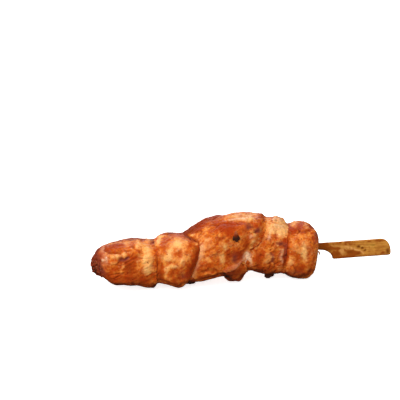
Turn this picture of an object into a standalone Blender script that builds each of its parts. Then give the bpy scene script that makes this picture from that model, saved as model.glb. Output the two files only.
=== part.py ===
"""A chicken kebab skewer: five grilled chunks of chicken on a bamboo stick with a flat handle.

Run it with: blender --background --python part.py, or from Blender's text editor.
Units are metres, +Z is up, and +X runs from the stick's point to its handle.
The front of the skewer, which is the side that the handle's broad face looks to, is -Y.
"""
import math

import bmesh
import bpy
from mathutils import Matrix, Vector, noise

MM = 0.001

# Driving sizes, in millimetres and degrees. Until the whole is put on the table at the end,
# places along X are measured from the neck, where the stick leaves the last chunk,
# and Y and Z are measured from the middle of the stick's shaft.
MEAT_LENGTH = 121.0          # from the charred end to the neck
AXIS_HEIGHT = 14.8           # the middle of the shaft above the table
CHUNK_GAP = 0.4              # between two pressed chunks
PRESS = 1.10                 # how far past its end face a pressed chunk would bulge, as a ratio

SHAFT_WIDTH = 3.1
STICK_THICKNESS = 2.9
STICK_ROLL = -18.0           # about the shaft: the handle's broad face looks up to the front
STICK_EDGE = 0.45            # the rounding of the stick's edges
TIP_PLACE = -110.5           # the point, hidden inside the first chunk
TIP_TAPER = 9.0
TIP_WIDTH = 0.9
HANDLE_END = 39.6
HANDLE_WIDTH = 8.4
SHOULDER_START = 0.8         # where the hollow under the shaft begins
SHOULDER_END = 7.9           # where the hollow reaches the handle's lower edge
UPPER_CORNER_LENGTH = 4.4    # the handle's end is cut round at the top
UPPER_CORNER_DROP = 6.2
LOWER_CORNER = 1.0           # and is almost square at the bottom
BORE_CLEARANCE = 0.35        # all round the shaft, inside the chunks
BORE_PAST_TIP = 0.8
BORE_PAST_NECK = 3.0

SWELL_SIZE = 9.0             # the large unevenness of the meat
SWELL_RISE = 1.1
KNOB_SIZE = 4.2              # the small unevenness of the meat
KNOB_RISE = 0.45
NOISE_SHIFT = Vector((17.0, 31.0, 47.0))    # sets each chunk's unevenness apart from the next

SHOULDER_STEPS = 6
UPPER_CORNER_STEPS = 5
LOWER_CORNER_STEPS = 2
EDGE_STEPS = 2
BEVELLED_ANGLE = 60.0        # edges sharper than this are rounded
SHARP_ANGLE = 35.0           # edges sharper than this stay crisp in the shading


class Seam:
    """The leaning, bent surface in which two neighbouring chunks are pressed together."""

    step_over = 3.5          # the height over which a seam makes its sidestep
    turn_depth = -2.0        # the Y about which a seam turns from front to back
    turn_over = 5.0

    def __init__(self, place, lean=0.0, skew=0.0, step=0.0, step_height=0.0, turn=0.0):
        self.place = place
        self.lean = lean                  # X gained for each millimetre up
        self.skew = skew                  # X gained for each millimetre to the back
        self.step = step                  # half of a sidestep that the seam makes on its way up
        self.step_height = step_height
        self.turn = turn                  # half of a sidestep that it makes from front to back

    def x(self, y, z):
        sidestep = self.step * math.tanh((z - self.step_height) / self.step_over)
        turned = self.turn * math.tanh((y - self.turn_depth) / self.turn_over)
        return self.place + self.lean * z + self.skew * y + sidestep + turned


CHARRED_END = Seam(-MEAT_LENGTH)
SEAM_1_2 = Seam(-87.0, skew=0.11)
SEAM_2_3 = Seam(-71.9, lean=0.35, turn=-3.0)
SEAM_3_4 = Seam(-33.5, skew=0.33, step=4.5, step_height=6.5)
SEAM_4_5 = Seam(-17.4, lean=0.05, skew=0.20)
NECK_END = Seam(-1.8, lean=0.09)


class Lump:
    """A hand-placed swelling, or a dent where its rise is negative."""

    def __init__(self, x, y, z, reach, rise):
        self.at = (x, y, z)
        self.reach = reach
        self.rise = rise

    def rise_at(self, place):
        distance = math.dist(place, self.at) / self.reach
        return self.rise * math.exp(-distance * distance)


class Chunk:
    """One chunk: how far it reaches up, down, forward and back at even steps along it."""

    def __init__(self, name, start, end, up, down, front, back,
                 square, start_round, end_round, grid, colour, lumps=()):
        self.name = name
        self.start = start
        self.end = end
        self.up = up
        self.down = down
        self.front = front
        self.back = back
        self.square = square              # 2 is a round cross-section, more is boxier
        self.start_round = start_round    # 2 is a round end, more is squarer
        self.end_round = end_round
        self.grid = grid                  # faces along each side of the starting cube
        self.colour = colour
        self.lumps = lumps

    @property
    def start_is_free(self):
        return self.start is CHARRED_END

    @property
    def end_is_free(self):
        return self.end is NECK_END

    def start_x(self, y, z):
        return self.start.x(y, z) + (0.0 if self.start_is_free else CHUNK_GAP / 2)

    def end_x(self, y, z):
        return self.end.x(y, z) - (0.0 if self.end_is_free else CHUNK_GAP / 2)


CHUNKS = [
    Chunk("chicken_1_charred_end", CHARRED_END, SEAM_1_2,
          up=(8.0, 9.0, 9.4, 9.8, 9.4), down=(8.0, 11.2, 12.2, 13.6, 17.4),
          front=(9.5, 12.0, 13.2, 13.6), back=(9.5, 12.5, 13.0, 12.0),
          square=3.0, start_round=2.3, end_round=4.4, grid=12, colour=(0.515, 0.102, 0.021, 1.0),
          lumps=(Lump(-104.0, -9.0, 6.5, reach=6.0, rise=1.3),        # the fold rolled along its top
                 Lump(-104.0, -13.0, 1.0, reach=4.5, rise=-1.3),      # the crease under the fold
                 Lump(-94.5, -12.5, 0.0, reach=6.0, rise=0.8))),      # the ridge beside the seam
    Chunk("chicken_2_pillow", SEAM_1_2, SEAM_2_3,
          up=(11.0, 11.2, 11.2), down=(11.2, 13.4, 15.6),
          front=(12.6, 15.0, 15.6), back=(11.0, 12.0, 11.0),
          square=3.8, start_round=6.0, end_round=9.0, grid=10, colour=(0.680, 0.205, 0.045, 1.0),
          lumps=(Lump(-77.0, -14.0, -1.0, reach=6.0, rise=0.8),)),    # the swollen front
    Chunk("chicken_3_large", SEAM_2_3, SEAM_3_4,
          up=(13.5, 17.2, 19.0, 19.4, 18.8), down=(13.6, 12.0, 9.8, 9.2, 9.6),
          front=(12.6, 14.4, 14.2, 13.4, 12.4), back=(12.0, 14.5, 15.0, 14.0, 12.0),
          square=4.2, start_round=6.0, end_round=8.0, grid=13, colour=(0.515, 0.107, 0.021, 1.0),
          lumps=(Lump(-46.2, -4.5, -9.5, reach=4.8, rise=7.0),)),     # the lobe that hangs under it
    Chunk("chicken_4_small", SEAM_3_4, SEAM_4_5,
          up=(15.6, 16.4, 13.4), down=(9.0, 11.2, 13.0),
          front=(11.8, 12.6, 12.4), back=(12.0, 12.5, 12.0),
          square=2.6, start_round=7.0, end_round=6.0, grid=10, colour=(0.577, 0.170, 0.045, 1.0),
          lumps=(Lump(-23.5, 2.0, 16.0, reach=2.6, rise=1.2),)),      # the knob on its top
    Chunk("chicken_5_handle_end", SEAM_4_5, NECK_END,
          up=(12.8, 13.0, 11.6), down=(14.2, 15.4, 15.2),
          front=(12.8, 14.2, 13.2), back=(12.0, 13.0, 12.4),
          square=3.3, start_round=6.0, end_round=4.0, grid=11, colour=(0.546, 0.127, 0.026, 1.0)),
]


def clear_scene():
    for old in list(bpy.data.objects):
        bpy.data.objects.remove(old, do_unlink=True)


def make_material(name, colour, roughness):
    material = bpy.data.materials.new(name)
    material.use_nodes = True
    shader = material.node_tree.nodes["Principled BSDF"]
    shader.inputs["Base Color"].default_value = colour
    shader.inputs["Roughness"].default_value = roughness
    shader.inputs["Metallic"].default_value = 0.0
    return material


def add_object(name, shape, skewer):
    """Turns a bmesh, still in millimetres, into an object in metres that hangs on the empty."""
    bmesh.ops.transform(shape, matrix=Matrix.Scale(MM, 4), verts=shape.verts)
    bmesh.ops.recalc_face_normals(shape, faces=shape.faces)
    mesh = bpy.data.meshes.new(name)
    shape.to_mesh(mesh)
    shape.free()
    new_object = bpy.data.objects.new(name, mesh)
    new_object.parent = skewer
    bpy.context.scene.collection.objects.link(new_object)
    return new_object


def along(values, t):
    """Reads evenly spaced values at t from 0 to 1, on a smooth curve through them."""
    spans = len(values) - 1
    first = min(int(t * spans), spans - 1)
    f = t * spans - first
    a = values[first]
    b = values[first + 1]
    slope_a = (b - values[max(first - 1, 0)]) / 2.0
    slope_b = (values[min(first + 2, spans)] - a) / 2.0
    return ((2 * f**3 - 3 * f**2 + 1) * a + (f**3 - 2 * f**2 + f) * slope_a
            + (3 * f**2 - 2 * f**3) * b + (f**3 - f**2) * slope_b)


def unevenness(place, number):
    """The swellings and knobs of cooked meat, the same in every run."""
    shift = NOISE_SHIFT * number
    swell = noise.noise(Vector(place) / SWELL_SIZE + shift)
    knob = noise.noise(Vector(place) / KNOB_SIZE - shift)
    return SWELL_RISE * swell + KNOB_RISE * knob


def rounded_cube_point(chunk, corner):
    """Draws a point of a cube, whose sides are at -1 and 1, in to a block with round edges."""
    end_round = chunk.start_round if corner.x < 0 else chunk.end_round
    ring = abs(corner.y) ** chunk.square + abs(corner.z) ** chunk.square
    size = (ring ** (end_round / chunk.square) + abs(corner.x) ** end_round) ** (-1.0 / end_round)
    return corner * size


def chunk_point(chunk, number, corner):
    """Where a point of the starting cube lies on the chunk's surface."""
    point = rounded_cube_point(chunk, corner)
    is_free = chunk.start_is_free if corner.x < 0 else chunk.end_is_free
    reach = point.x if is_free else point.x * PRESS
    t = 0.5 + 0.5 * max(-1.0, min(1.0, reach))
    y = point.y * along(chunk.front if point.y < 0 else chunk.back, t)
    z = point.z * along(chunk.down if point.z < 0 else chunk.up, t)
    x = chunk.start_x(y, z) + t * (chunk.end_x(y, z) - chunk.start_x(y, z))

    # Swellings and lumps push straight out from the shaft, and spare what lies close to it.
    place = (x, y, z)
    radius = math.hypot(y, z)
    if radius > SHAFT_WIDTH:
        rise = unevenness(place, number) + sum(lump.rise_at(place) for lump in chunk.lumps)
        growth = 1.0 + rise * (1.0 - SHAFT_WIDTH / radius) / radius
        y *= growth
        z *= growth

    # The side on the table is pressed flat, and the ends stay between the chunk's two seams.
    z = max(z, -AXIS_HEIGHT)
    if not chunk.start_is_free:
        x = max(x, chunk.start_x(y, z))
    if not chunk.end_is_free:
        x = min(x, chunk.end_x(y, z))
    return x, y, z


def make_chunk(chunk, number, bore_cutter, skewer):
    shape = bmesh.new()
    bmesh.ops.create_cube(shape, size=2.0)
    bmesh.ops.subdivide_edges(shape, edges=shape.edges, cuts=chunk.grid - 1, use_grid_fill=True)
    for vert in shape.verts:
        vert.co = chunk_point(chunk, number, vert.co.copy())
    meat = add_object(chunk.name, shape, skewer)
    meat.data.materials.append(make_material(chunk.name + "_meat", chunk.colour, roughness=0.45))
    meat.data.shade_smooth()
    bore = meat.modifiers.new("bore for the stick", "BOOLEAN")
    bore.operation = "DIFFERENCE"
    bore.solver = "EXACT"
    bore.object = bore_cutter
    return meat


def arc(centre, radius_x, radius_z, start_degrees, end_degrees, steps):
    """Points on a stretch of an ellipse, both ends included."""
    points = []
    for step in range(steps + 1):
        angle = math.radians(start_degrees + (end_degrees - start_degrees) * step / steps)
        points.append((centre[0] + radius_x * math.cos(angle), centre[1] + radius_z * math.sin(angle)))
    return points


def stick_outline():
    """The stick in X and Z: a straight upper edge, and a handle that drops below the shaft."""
    top = SHAFT_WIDTH / 2
    bottom = -SHAFT_WIDTH / 2
    handle_bottom = top - HANDLE_WIDTH
    point = [(TIP_PLACE, TIP_WIDTH / 2), (TIP_PLACE, -TIP_WIDTH / 2), (TIP_PLACE + TIP_TAPER, bottom)]
    hollow = arc((SHOULDER_START, handle_bottom), SHOULDER_END - SHOULDER_START,
                 bottom - handle_bottom, 90, 0, SHOULDER_STEPS)
    lower_corner = arc((HANDLE_END - LOWER_CORNER, handle_bottom + LOWER_CORNER),
                       LOWER_CORNER, LOWER_CORNER, -90, 0, LOWER_CORNER_STEPS)
    upper_corner = arc((HANDLE_END - UPPER_CORNER_LENGTH, top - UPPER_CORNER_DROP),
                       UPPER_CORNER_LENGTH, UPPER_CORNER_DROP, 0, 90, UPPER_CORNER_STEPS)
    return point + hollow + lower_corner + upper_corner + [(TIP_PLACE + TIP_TAPER, top)]


def make_stick(skewer):
    shape = bmesh.new()
    outline = [shape.verts.new((x, -STICK_THICKNESS / 2, z)) for x, z in stick_outline()]
    front = shape.faces.new(outline)
    pushed = bmesh.ops.extrude_face_region(shape, geom=[front], use_keep_orig=True)
    back = [item for item in pushed["geom"] if isinstance(item, bmesh.types.BMVert)]
    bmesh.ops.translate(shape, verts=back, vec=(0.0, STICK_THICKNESS, 0.0))
    bmesh.ops.recalc_face_normals(shape, faces=shape.faces)

    taper_middle = TIP_PLACE + TIP_TAPER / 2
    point = [vert for vert in shape.verts if vert.co.x < taper_middle]
    bmesh.ops.scale(shape, verts=point, vec=(1.0, TIP_WIDTH / STICK_THICKNESS, 1.0))
    rims = [edge for edge in shape.edges
            if edge.calc_face_angle() > math.radians(BEVELLED_ANGLE)
            and min(vert.co.x for vert in edge.verts) > taper_middle]
    bmesh.ops.bevel(shape, geom=rims, offset=STICK_EDGE, offset_type="OFFSET", segments=EDGE_STEPS,
                    profile=0.5, affect="EDGES", material=-1, clamp_overlap=True)

    stick = add_object("bamboo_skewer", shape, skewer)
    stick.rotation_euler.x = math.radians(STICK_ROLL)
    stick.data.materials.append(make_material("bamboo", (0.420, 0.150, 0.030, 1.0), roughness=0.55))
    stick.data.shade_smooth()
    stick.data.set_sharp_from_angle(angle=math.radians(SHARP_ANGLE))
    return stick


def make_bore_cutter(skewer):
    """A bar a little larger than the shaft, which opens the chunks from the neck to past the tip."""
    start = TIP_PLACE - BORE_PAST_TIP
    size = Vector((BORE_PAST_NECK - start,
                   STICK_THICKNESS + 2 * BORE_CLEARANCE,
                   SHAFT_WIDTH + 2 * BORE_CLEARANCE))
    shape = bmesh.new()
    bmesh.ops.create_cube(shape, size=1.0)
    bmesh.ops.scale(shape, verts=shape.verts, vec=size)
    bmesh.ops.translate(shape, verts=shape.verts, vec=(start + size.x / 2, 0.0, 0.0))
    cutter = add_object("bore_cutter", shape, skewer)
    cutter.rotation_euler.x = math.radians(STICK_ROLL)
    cutter.hide_render = True
    cutter.display_type = "WIRE"
    return cutter


def stand_on_table(skewer, pieces):
    """Moves the empty so that the middle of the underside of the whole is at the origin."""
    bpy.context.view_layer.update()
    corners = [piece.matrix_world @ vert.co for piece in pieces for vert in piece.data.vertices]
    lows = [min(corner[axis] for corner in corners) for axis in range(3)]
    highs = [max(corner[axis] for corner in corners) for axis in range(3)]
    skewer.location = (-(lows[0] + highs[0]) / 2, -(lows[1] + highs[1]) / 2, -lows[2])
    bpy.context.view_layer.update()


def main():
    clear_scene()
    skewer = bpy.data.objects.new("skewer_place", None)
    bpy.context.scene.collection.objects.link(skewer)
    cutter = make_bore_cutter(skewer)
    pieces = [make_stick(skewer)]
    for number, chunk in enumerate(CHUNKS, start=1):
        pieces.append(make_chunk(chunk, number, cutter, skewer))
    stand_on_table(skewer, pieces)


main()
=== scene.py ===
# %% [markdown]
# # Grilled chicken on a bamboo stick
# Five chunks of marinated chicken, threaded on a flat-handled stick and grilled until their edges
# have burnt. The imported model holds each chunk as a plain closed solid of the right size. This
# lesson turns those solids into meat: it gives them a fine skin of faces, pushes that skin into
# folds, fibres and pits, paints where the marinade browned, and lights it all like a studio table.

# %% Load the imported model
import math

import bmesh
import bpy
import numpy as np
from mathutils import Matrix, Vector, noise
from mathutils.bvhtree import BVHTree


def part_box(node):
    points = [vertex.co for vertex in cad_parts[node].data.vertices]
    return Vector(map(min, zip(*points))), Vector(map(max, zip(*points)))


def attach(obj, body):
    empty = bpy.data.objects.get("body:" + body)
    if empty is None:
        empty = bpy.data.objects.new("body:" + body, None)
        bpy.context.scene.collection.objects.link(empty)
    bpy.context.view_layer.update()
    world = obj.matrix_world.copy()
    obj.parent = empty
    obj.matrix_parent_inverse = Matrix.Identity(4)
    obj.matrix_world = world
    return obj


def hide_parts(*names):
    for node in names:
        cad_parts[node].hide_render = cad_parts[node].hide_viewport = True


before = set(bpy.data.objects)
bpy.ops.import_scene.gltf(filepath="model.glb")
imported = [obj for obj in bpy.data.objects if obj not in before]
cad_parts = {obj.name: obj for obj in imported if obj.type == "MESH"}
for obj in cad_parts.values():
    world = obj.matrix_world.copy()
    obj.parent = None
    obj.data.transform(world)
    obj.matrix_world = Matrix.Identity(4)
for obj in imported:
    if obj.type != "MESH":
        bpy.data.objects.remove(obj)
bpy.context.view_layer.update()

print("CAD nodes:", sorted(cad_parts))

# %% [markdown]
# ## Measuring along the stick
# A cook finds a place on a skewer by how far along it lies. The world's own origin would do too,
# but nobody can point at it. So every place in this script is in millimetres: X from the neck,
# which is where the stick leaves the meat, and Y and Z from the middle of the stick's shaft. The
# neck itself is found from the stick's own box.

# %% Find the neck
MM = 0.001
HANDLE_LENGTH = 39.6 * MM
SHAFT_TO_BACK = 2.0 * MM
AXIS_HEIGHT = 14.8 * MM

_, stick_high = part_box("bamboo_skewer")
NECK = Vector((stick_high.x - HANDLE_LENGTH, stick_high.y - SHAFT_TO_BACK, AXIS_HEIGHT))
print("the neck, in metres:", tuple(round(value, 4) for value in NECK))

# %% [markdown]
# ## The camera
# The skewer lies on the table and is seen from its front, from a little above and a little to the
# left. A short lens close by would swell the nearest chunk, so a long lens stands far away, as it
# does in a studio. Its place comes from two angles, which are easier to set than a position.

# %% Place the camera
AZIMUTH = math.radians(-10.75)
ELEVATION = math.radians(20.0)
DISTANCE = 0.8
AIM_LEFT_OF_NECK = 0.0625
AIM_ABOVE_NECK = 0.0246
LENS = 135.85
SENSOR = 36.0

back = Vector((math.sin(AZIMUTH) * math.cos(ELEVATION),
               -math.cos(AZIMUTH) * math.cos(ELEVATION),
               math.sin(ELEVATION)))
right = Vector((math.cos(AZIMUTH), math.sin(AZIMUTH), 0.0))
up = back.cross(right)
aim = NECK - right * AIM_LEFT_OF_NECK + up * AIM_ABOVE_NECK
EYE = aim + back * DISTANCE

camera_data = bpy.data.cameras.new("camera")
camera_data.lens = LENS
camera_data.sensor_width = SENSOR
camera = bpy.data.objects.new("camera", camera_data)
camera.matrix_world = Matrix.Translation(EYE) @ Matrix((right, up, back)).transposed().to_4x4()
bpy.context.scene.collection.objects.link(camera)
bpy.context.scene.camera = camera
print("the camera, in metres:", tuple(round(value, 4) for value in EYE))

# %% [markdown]
# ## The table
# Food is often shown on a white sweep without an edge. A white board under strong lamps would
# work, but its brightness would change with every lamp. So the table is a plain square that glows
# a little itself, and it throws no light back on to the meat.

# %% Lay the table
TABLE_HALF = 3.0
TABLE_WHITE = (0.87, 0.87, 0.87, 1.0)
TABLE_GLOW = 0.88

white_table = bpy.data.materials.new("white_table")
white_table.use_nodes = True
table_shader = white_table.node_tree.nodes["Principled BSDF"]
table_shader.inputs["Base Color"].default_value = TABLE_WHITE
table_shader.inputs["Roughness"].default_value = 0.9
table_shader.inputs["Specular IOR Level"].default_value = 0.1
table_shader.inputs["Emission Color"].default_value = TABLE_WHITE
table_shader.inputs["Emission Strength"].default_value = TABLE_GLOW

table_shape = bmesh.new()
bmesh.ops.create_grid(table_shape, x_segments=2, y_segments=2, size=TABLE_HALF)
table_mesh = bpy.data.meshes.new("table")
table_shape.to_mesh(table_mesh)
table_shape.free()
table_mesh.materials.append(white_table)
table = bpy.data.objects.new("table", table_mesh)
bpy.context.scene.collection.objects.link(table)
table.visible_glossy = False
table.visible_diffuse = False
print("the table is", 2 * TABLE_HALF, "metres wide")

# %% [markdown]
# ## The lights
# Wet meat needs two kinds of light: wide soft light that shows its colour, and glints that show
# its wetness. One lamp could give both, but then neither can be set alone. So three soft boxes
# light the meat without glints, from overhead, from in front and from low behind. One more behind
# gives only the wet lights along the top edges, and a small one gives the sharp sparks.

# %% Hang the soft boxes
MEAT_MIDDLE = NECK + Vector((-0.060, 0.0, 0.0))


def soft_box(name, place, size, power, colour, lights=True, glints=True):
    """A square lamp that looks at the middle of the meat, for its light, its glints or both."""
    data = bpy.data.lights.new(name, "AREA")
    data.shape = "SQUARE"
    data.size = size
    data.energy = power
    data.color = colour
    lamp = bpy.data.objects.new(name, data)
    lamp.location = place
    looks = MEAT_MIDDLE - Vector(place)
    lamp.rotation_euler = looks.to_track_quat("-Z", "Y").to_euler()
    lamp.visible_diffuse = lights
    lamp.visible_glossy = glints
    bpy.context.scene.collection.objects.link(lamp)
    print(name, size, "m wide,", power, "watts")


soft_box("box_overhead", (-0.15, -0.10, 1.10), 1.3, 7.8, (1.0, 0.99, 0.97), glints=False)
soft_box("box_behind", (0.05, 0.95, 0.42), 0.8, 3.0, (1.0, 0.93, 0.91), lights=False)
soft_box("box_in_front", (-0.50, -1.00, 0.55), 1.2, 7.9, (1.0, 0.98, 0.96), glints=False)
soft_box("box_low_behind", (0.15, 0.95, 0.12), 1.0, 4.5, (1.0, 0.98, 0.96), glints=False)
soft_box("box_for_glints", (-0.60, -0.45, 0.75), 0.25, 3.0, (1.0, 0.97, 0.95))

# %% Fill the room with even light
ROOM_LIGHT = 0.46

studio = bpy.data.worlds.new("studio")
studio.use_nodes = True
studio.node_tree.nodes["Background"].inputs["Color"].default_value = (1.0, 1.0, 1.0, 1.0)
studio.node_tree.nodes["Background"].inputs["Strength"].default_value = ROOM_LIGHT
studio.cycles_visibility.glossy = False
bpy.context.scene.world = studio
bpy.context.scene.view_settings.view_transform = "Standard"
print("the room's own light:", ROOM_LIGHT)

# %% [markdown]
# ## A skin fine enough to carve
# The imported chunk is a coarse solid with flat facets. Real meat has wrinkles a few tenths of a
# millimetre wide. Subdividing the facets would keep their pattern, so the chunk is remeshed
# instead: once coarsely, to melt the facets with a smooth pass, and once finely, for the carving.
# In between, a few wide lumps and hollows give its outline the turns that the solid left out.

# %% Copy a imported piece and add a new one
def merged_copy(node):
    """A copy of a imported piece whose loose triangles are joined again."""
    shape = bmesh.new()
    shape.from_mesh(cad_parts[node].data)
    bmesh.ops.remove_doubles(shape, verts=shape.verts, dist=1e-6)
    bmesh.ops.recalc_face_normals(shape, faces=shape.faces)
    return shape


def add_piece(name, shape):
    """Turns a bmesh, in metres, into an object at the origin."""
    mesh = bpy.data.meshes.new(name)
    shape.to_mesh(mesh)
    shape.free()
    piece = bpy.data.objects.new(name, mesh)
    bpy.context.scene.collection.objects.link(piece)
    return piece


print("packed pieces to copy:", len(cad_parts))

# %% Remesh and smooth a piece
def apply_modifiers(piece):
    """Swaps the piece's mesh for what its modifiers make of it."""
    graph = bpy.context.evaluated_depsgraph_get()
    finished = bpy.data.meshes.new_from_object(piece.evaluated_get(graph))
    piece.modifiers.clear()
    old = piece.data
    piece.data = finished
    bpy.data.meshes.remove(old)


def remesh(piece, voxel, smooth_steps):
    """Gives the piece an even skin of faces as wide as a voxel."""
    melt = piece.modifiers.new("melt", "REMESH")
    melt.mode = "VOXEL"
    melt.voxel_size = voxel
    relax = piece.modifiers.new("relax", "SMOOTH")
    relax.factor = 0.5
    relax.iterations = smooth_steps
    apply_modifiers(piece)


COARSE_VOXEL = 0.7 * MM
FINE_VOXEL = 0.34 * MM
print("the carved skin has faces about", round(FINE_VOXEL / MM, 2), "mm wide")

# %% Swell a chunk and refine its skin
def lump(place, size, rise):
    """A wide swelling, or a hollow where the rise is negative: middle, half sizes and rise in mm."""
    return {"place": place, "size": size, "rise": rise}


def fine_chunk(name, node, lumps):
    piece = add_piece(name, merged_copy(node))
    remesh(piece, COARSE_VOXEL, smooth_steps=6)
    for swelling in lumps:
        place, size = swelling["place"], swelling["size"]
        for vertex in piece.data.vertices:
            away = [(vertex.co[axis] - NECK[axis]) / MM - place[axis] for axis in range(3)]
            distance = sum((away[axis] / size[axis]) ** 2 for axis in range(3))
            vertex.co.z += swelling["rise"] * MM * math.exp(-distance)
    remesh(piece, FINE_VOXEL, smooth_steps=2)
    return piece

# %% [markdown]
# ## Reading and writing the skin
# Carving moves a hundred thousand points. A loop over the vertices would be slow, so the points
# are read into arrays, in millimetres from the neck, worked on all at once, and written back. The
# noise is Blender's own, sampled point by point.

# %% Read and write arrays of points
NECK_ARRAY = np.array(NECK)


def read_points(mesh):
    """Places and normals of the vertices, the places in millimetres from the neck."""
    places = np.empty(len(mesh.vertices) * 3, np.float32)
    mesh.vertices.foreach_get("co", places)
    normals = np.empty(len(mesh.vertices) * 3, np.float32)
    mesh.vertex_normals.foreach_get("vector", normals)
    places = places.reshape(-1, 3).astype(float)
    return (places - NECK_ARRAY) / MM, normals.reshape(-1, 3).astype(float)


def write_points(mesh, places):
    metres = places * MM + NECK_ARRAY
    mesh.vertices.foreach_set("co", metres.astype(np.float32).ravel())
    mesh.update()


def write_attribute(mesh, name, values):
    layer = mesh.attributes.new(name, "FLOAT", "POINT")
    layer.data.foreach_set("value", np.clip(values, 0.0, 1.0).astype(np.float32))


stick_places, _ = read_points(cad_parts["bamboo_skewer"].data)
print("the stick runs, in mm from the neck:", stick_places.min(axis=0).round(1), "to",
      stick_places.max(axis=0).round(1))

# %% Steps and noise
def smooth_step(low, high, values):
    """0 below the low value, 1 above the high one, and a soft slope between."""
    t = np.clip((values - low) / (high - low), 0.0, 1.0)
    return t * t * (3.0 - 2.0 * t)


def rough(places, size, shift):
    """Blender's noise, from about -1 to 1, with blobs of the given size in millimetres."""
    samples = places / size + np.array(shift)
    return np.array([noise.noise(sample) for sample in samples.tolist()])


print("noise in a few places on the stick:", rough(stick_places[:5], 3.0, (0.0, 0.0, 0.0)).round(2))

# %% [markdown]
# ## Places on the front
# The front of each chunk is worked mark by mark, as a food stylist would do it with a knife and a brush.
# Places in three dimensions would be hard to judge on such a lumpy skin. So a mark says where it lies on
# the upright plane through the shaft, as someone sees it who stands at the camera: X from the neck, Z from
# the shaft. The line of sight through that place finds the skin, and only skin that looks towards that
# person is touched.

# %% Find where a point lies for the person in front
EYE_FROM_NECK = (np.array(EYE) - NECK_ARRAY) / MM
SIDE_ON = (-0.12, 0.22)


def front_places(places):
    share = -EYE_FROM_NECK[1] / (places[:, 1] - EYE_FROM_NECK[1])
    across = EYE_FROM_NECK[0] + share * (places[:, 0] - EYE_FROM_NECK[0])
    high = EYE_FROM_NECK[2] + share * (places[:, 2] - EYE_FROM_NECK[2])
    return np.stack((across, high), axis=1)


def towards_eye(places, normals):
    """How squarely the skin looks at the person in front: 1 straight at them, 0 side on."""
    sight = EYE_FROM_NECK - places
    sight /= np.linalg.norm(sight, axis=1)[:, None]
    return np.sum(sight * normals, axis=1)


def facing(places, normals):
    """1 where the skin looks to the front, 0 where it looks away."""
    return smooth_step(*SIDE_ON, towards_eye(places, normals))


print("the person in front stands, in mm from the neck:", EYE_FROM_NECK.round(0))

# %% [markdown]
# ## Marks and creases
# A stylist's touches are of two kinds: a dab of a soft brush, and a stroke. A dab is an oval blot,
# and a stroke is a line through a few places. Both paint, and both may lift or sink the skin, so
# that a fold and its shadow always lie in the same place. Five paints colour the skin, a sixth
# makes it wet, and bare stands for no paint at all, only a rise.

# %% Blots and lines
PALE, RED, WINE, CHAR, GREY, WET = "pale", "red", "wine", "char", "grey", "wet"
BARE = "bare"
PAINTS = (PALE, RED, WINE, CHAR, GREY, WET)


def mark(paint, x, z, wide, tall, tilt=0.0, amount=1.0, rise=0.0, edge=2.0):
    """A blot, bump or dent: its middle, half sizes, turn in degrees and rise in mm.

    The amount is how much paint it holds, and a larger edge gives it a sharper rim.
    """
    return {"paint": paint, "x": x, "z": z, "wide": wide, "tall": tall, "tilt": math.radians(tilt),
            "amount": amount, "rise": rise, "edge": edge}


def crease(paint, points, wide, amount=1.0, rise=0.0):
    """A line drawn through a few points: a wrinkle where it sinks, a strand where it rises."""
    return {"paint": paint, "points": points, "wide": wide, "amount": amount, "rise": rise}

# %% How strong a mark is at each place
FADE = 0.7


def mark_strength(spot, flat):
    along = flat[:, 0] - spot["x"]
    over = flat[:, 1] - spot["z"]
    turned_x = along * math.cos(spot["tilt"]) + over * math.sin(spot["tilt"])
    turned_z = over * math.cos(spot["tilt"]) - along * math.sin(spot["tilt"])
    distance = np.hypot(turned_x / spot["wide"], turned_z / spot["tall"])
    return np.exp(-FADE * distance ** spot["edge"])


def crease_strength(line, flat):
    nearest = np.full(len(flat), 1e9)
    for start, end in zip(line["points"], line["points"][1:]):
        start = np.array(start)
        run = np.array(end) - start
        share = np.clip(((flat - start) @ run) / (run @ run), 0.0, 1.0)
        nearest = np.minimum(nearest, np.linalg.norm(flat - start - share[:, None] * run, axis=1))
    return np.exp(-FADE * (nearest / line["wide"]) ** 2)


ruler = np.array(((0.0, 0.0), (2.0, 0.0), (4.0, 0.0)))
print("a blot 2 mm wide, at 0, 2 and 4 mm:", mark_strength(mark(PALE, 0.0, 0.0, 2.0, 2.0), ruler).round(2))

# %% Lay all the marks
def lay_marks(flat, seen, spots, lines):
    """The paints laid by all the marks, and how far the blots and the lines lift the skin."""
    paints = {name: np.zeros(len(flat)) for name in (*PAINTS, BARE)}
    spot_rise = np.zeros(len(flat))
    line_rise = np.zeros(len(flat))
    for spot in spots:
        strength = seen * mark_strength(spot, flat)
        paints[spot["paint"]] += spot["amount"] * strength
        spot_rise += spot["rise"] * strength
    for line in lines:
        strength = seen * crease_strength(line, flat)
        paints[line["paint"]] += line["amount"] * strength
        line_rise += line["rise"] * strength
    return paints, spot_rise, line_rise


_, dent, _ = lay_marks(ruler, np.ones(3), (mark(BARE, 0.0, 0.0, 2.0, 2.0, rise=-1.0),), ())
print("a dent 1 mm deep, at 0, 2 and 4 mm:", dent.round(2))

# %% [markdown]
# ## Closing the seams
# On the grill the chunks are squeezed together until the seam between two is only a line. The
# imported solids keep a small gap. Joining them into one mesh would close it, but each chunk has to
# stay its own piece. So the skin near a neighbour is drawn half of the way to it, and the skin
# near the stick is drawn on to the stick. The groove over a seam is filled too, but only as far as
# a ball that rolls along the row would fail to reach into it.

# %% Measure the way to another piece
def tree_of_shape(shape):
    """A search tree for the nearest place on a bmesh, which is freed."""
    tree = BVHTree.FromBMesh(shape)
    shape.free()
    return tree


CHUNK_NODES = sorted(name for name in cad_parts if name.startswith("chicken"))
TREES = {node: tree_of_shape(merged_copy(node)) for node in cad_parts}


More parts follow.
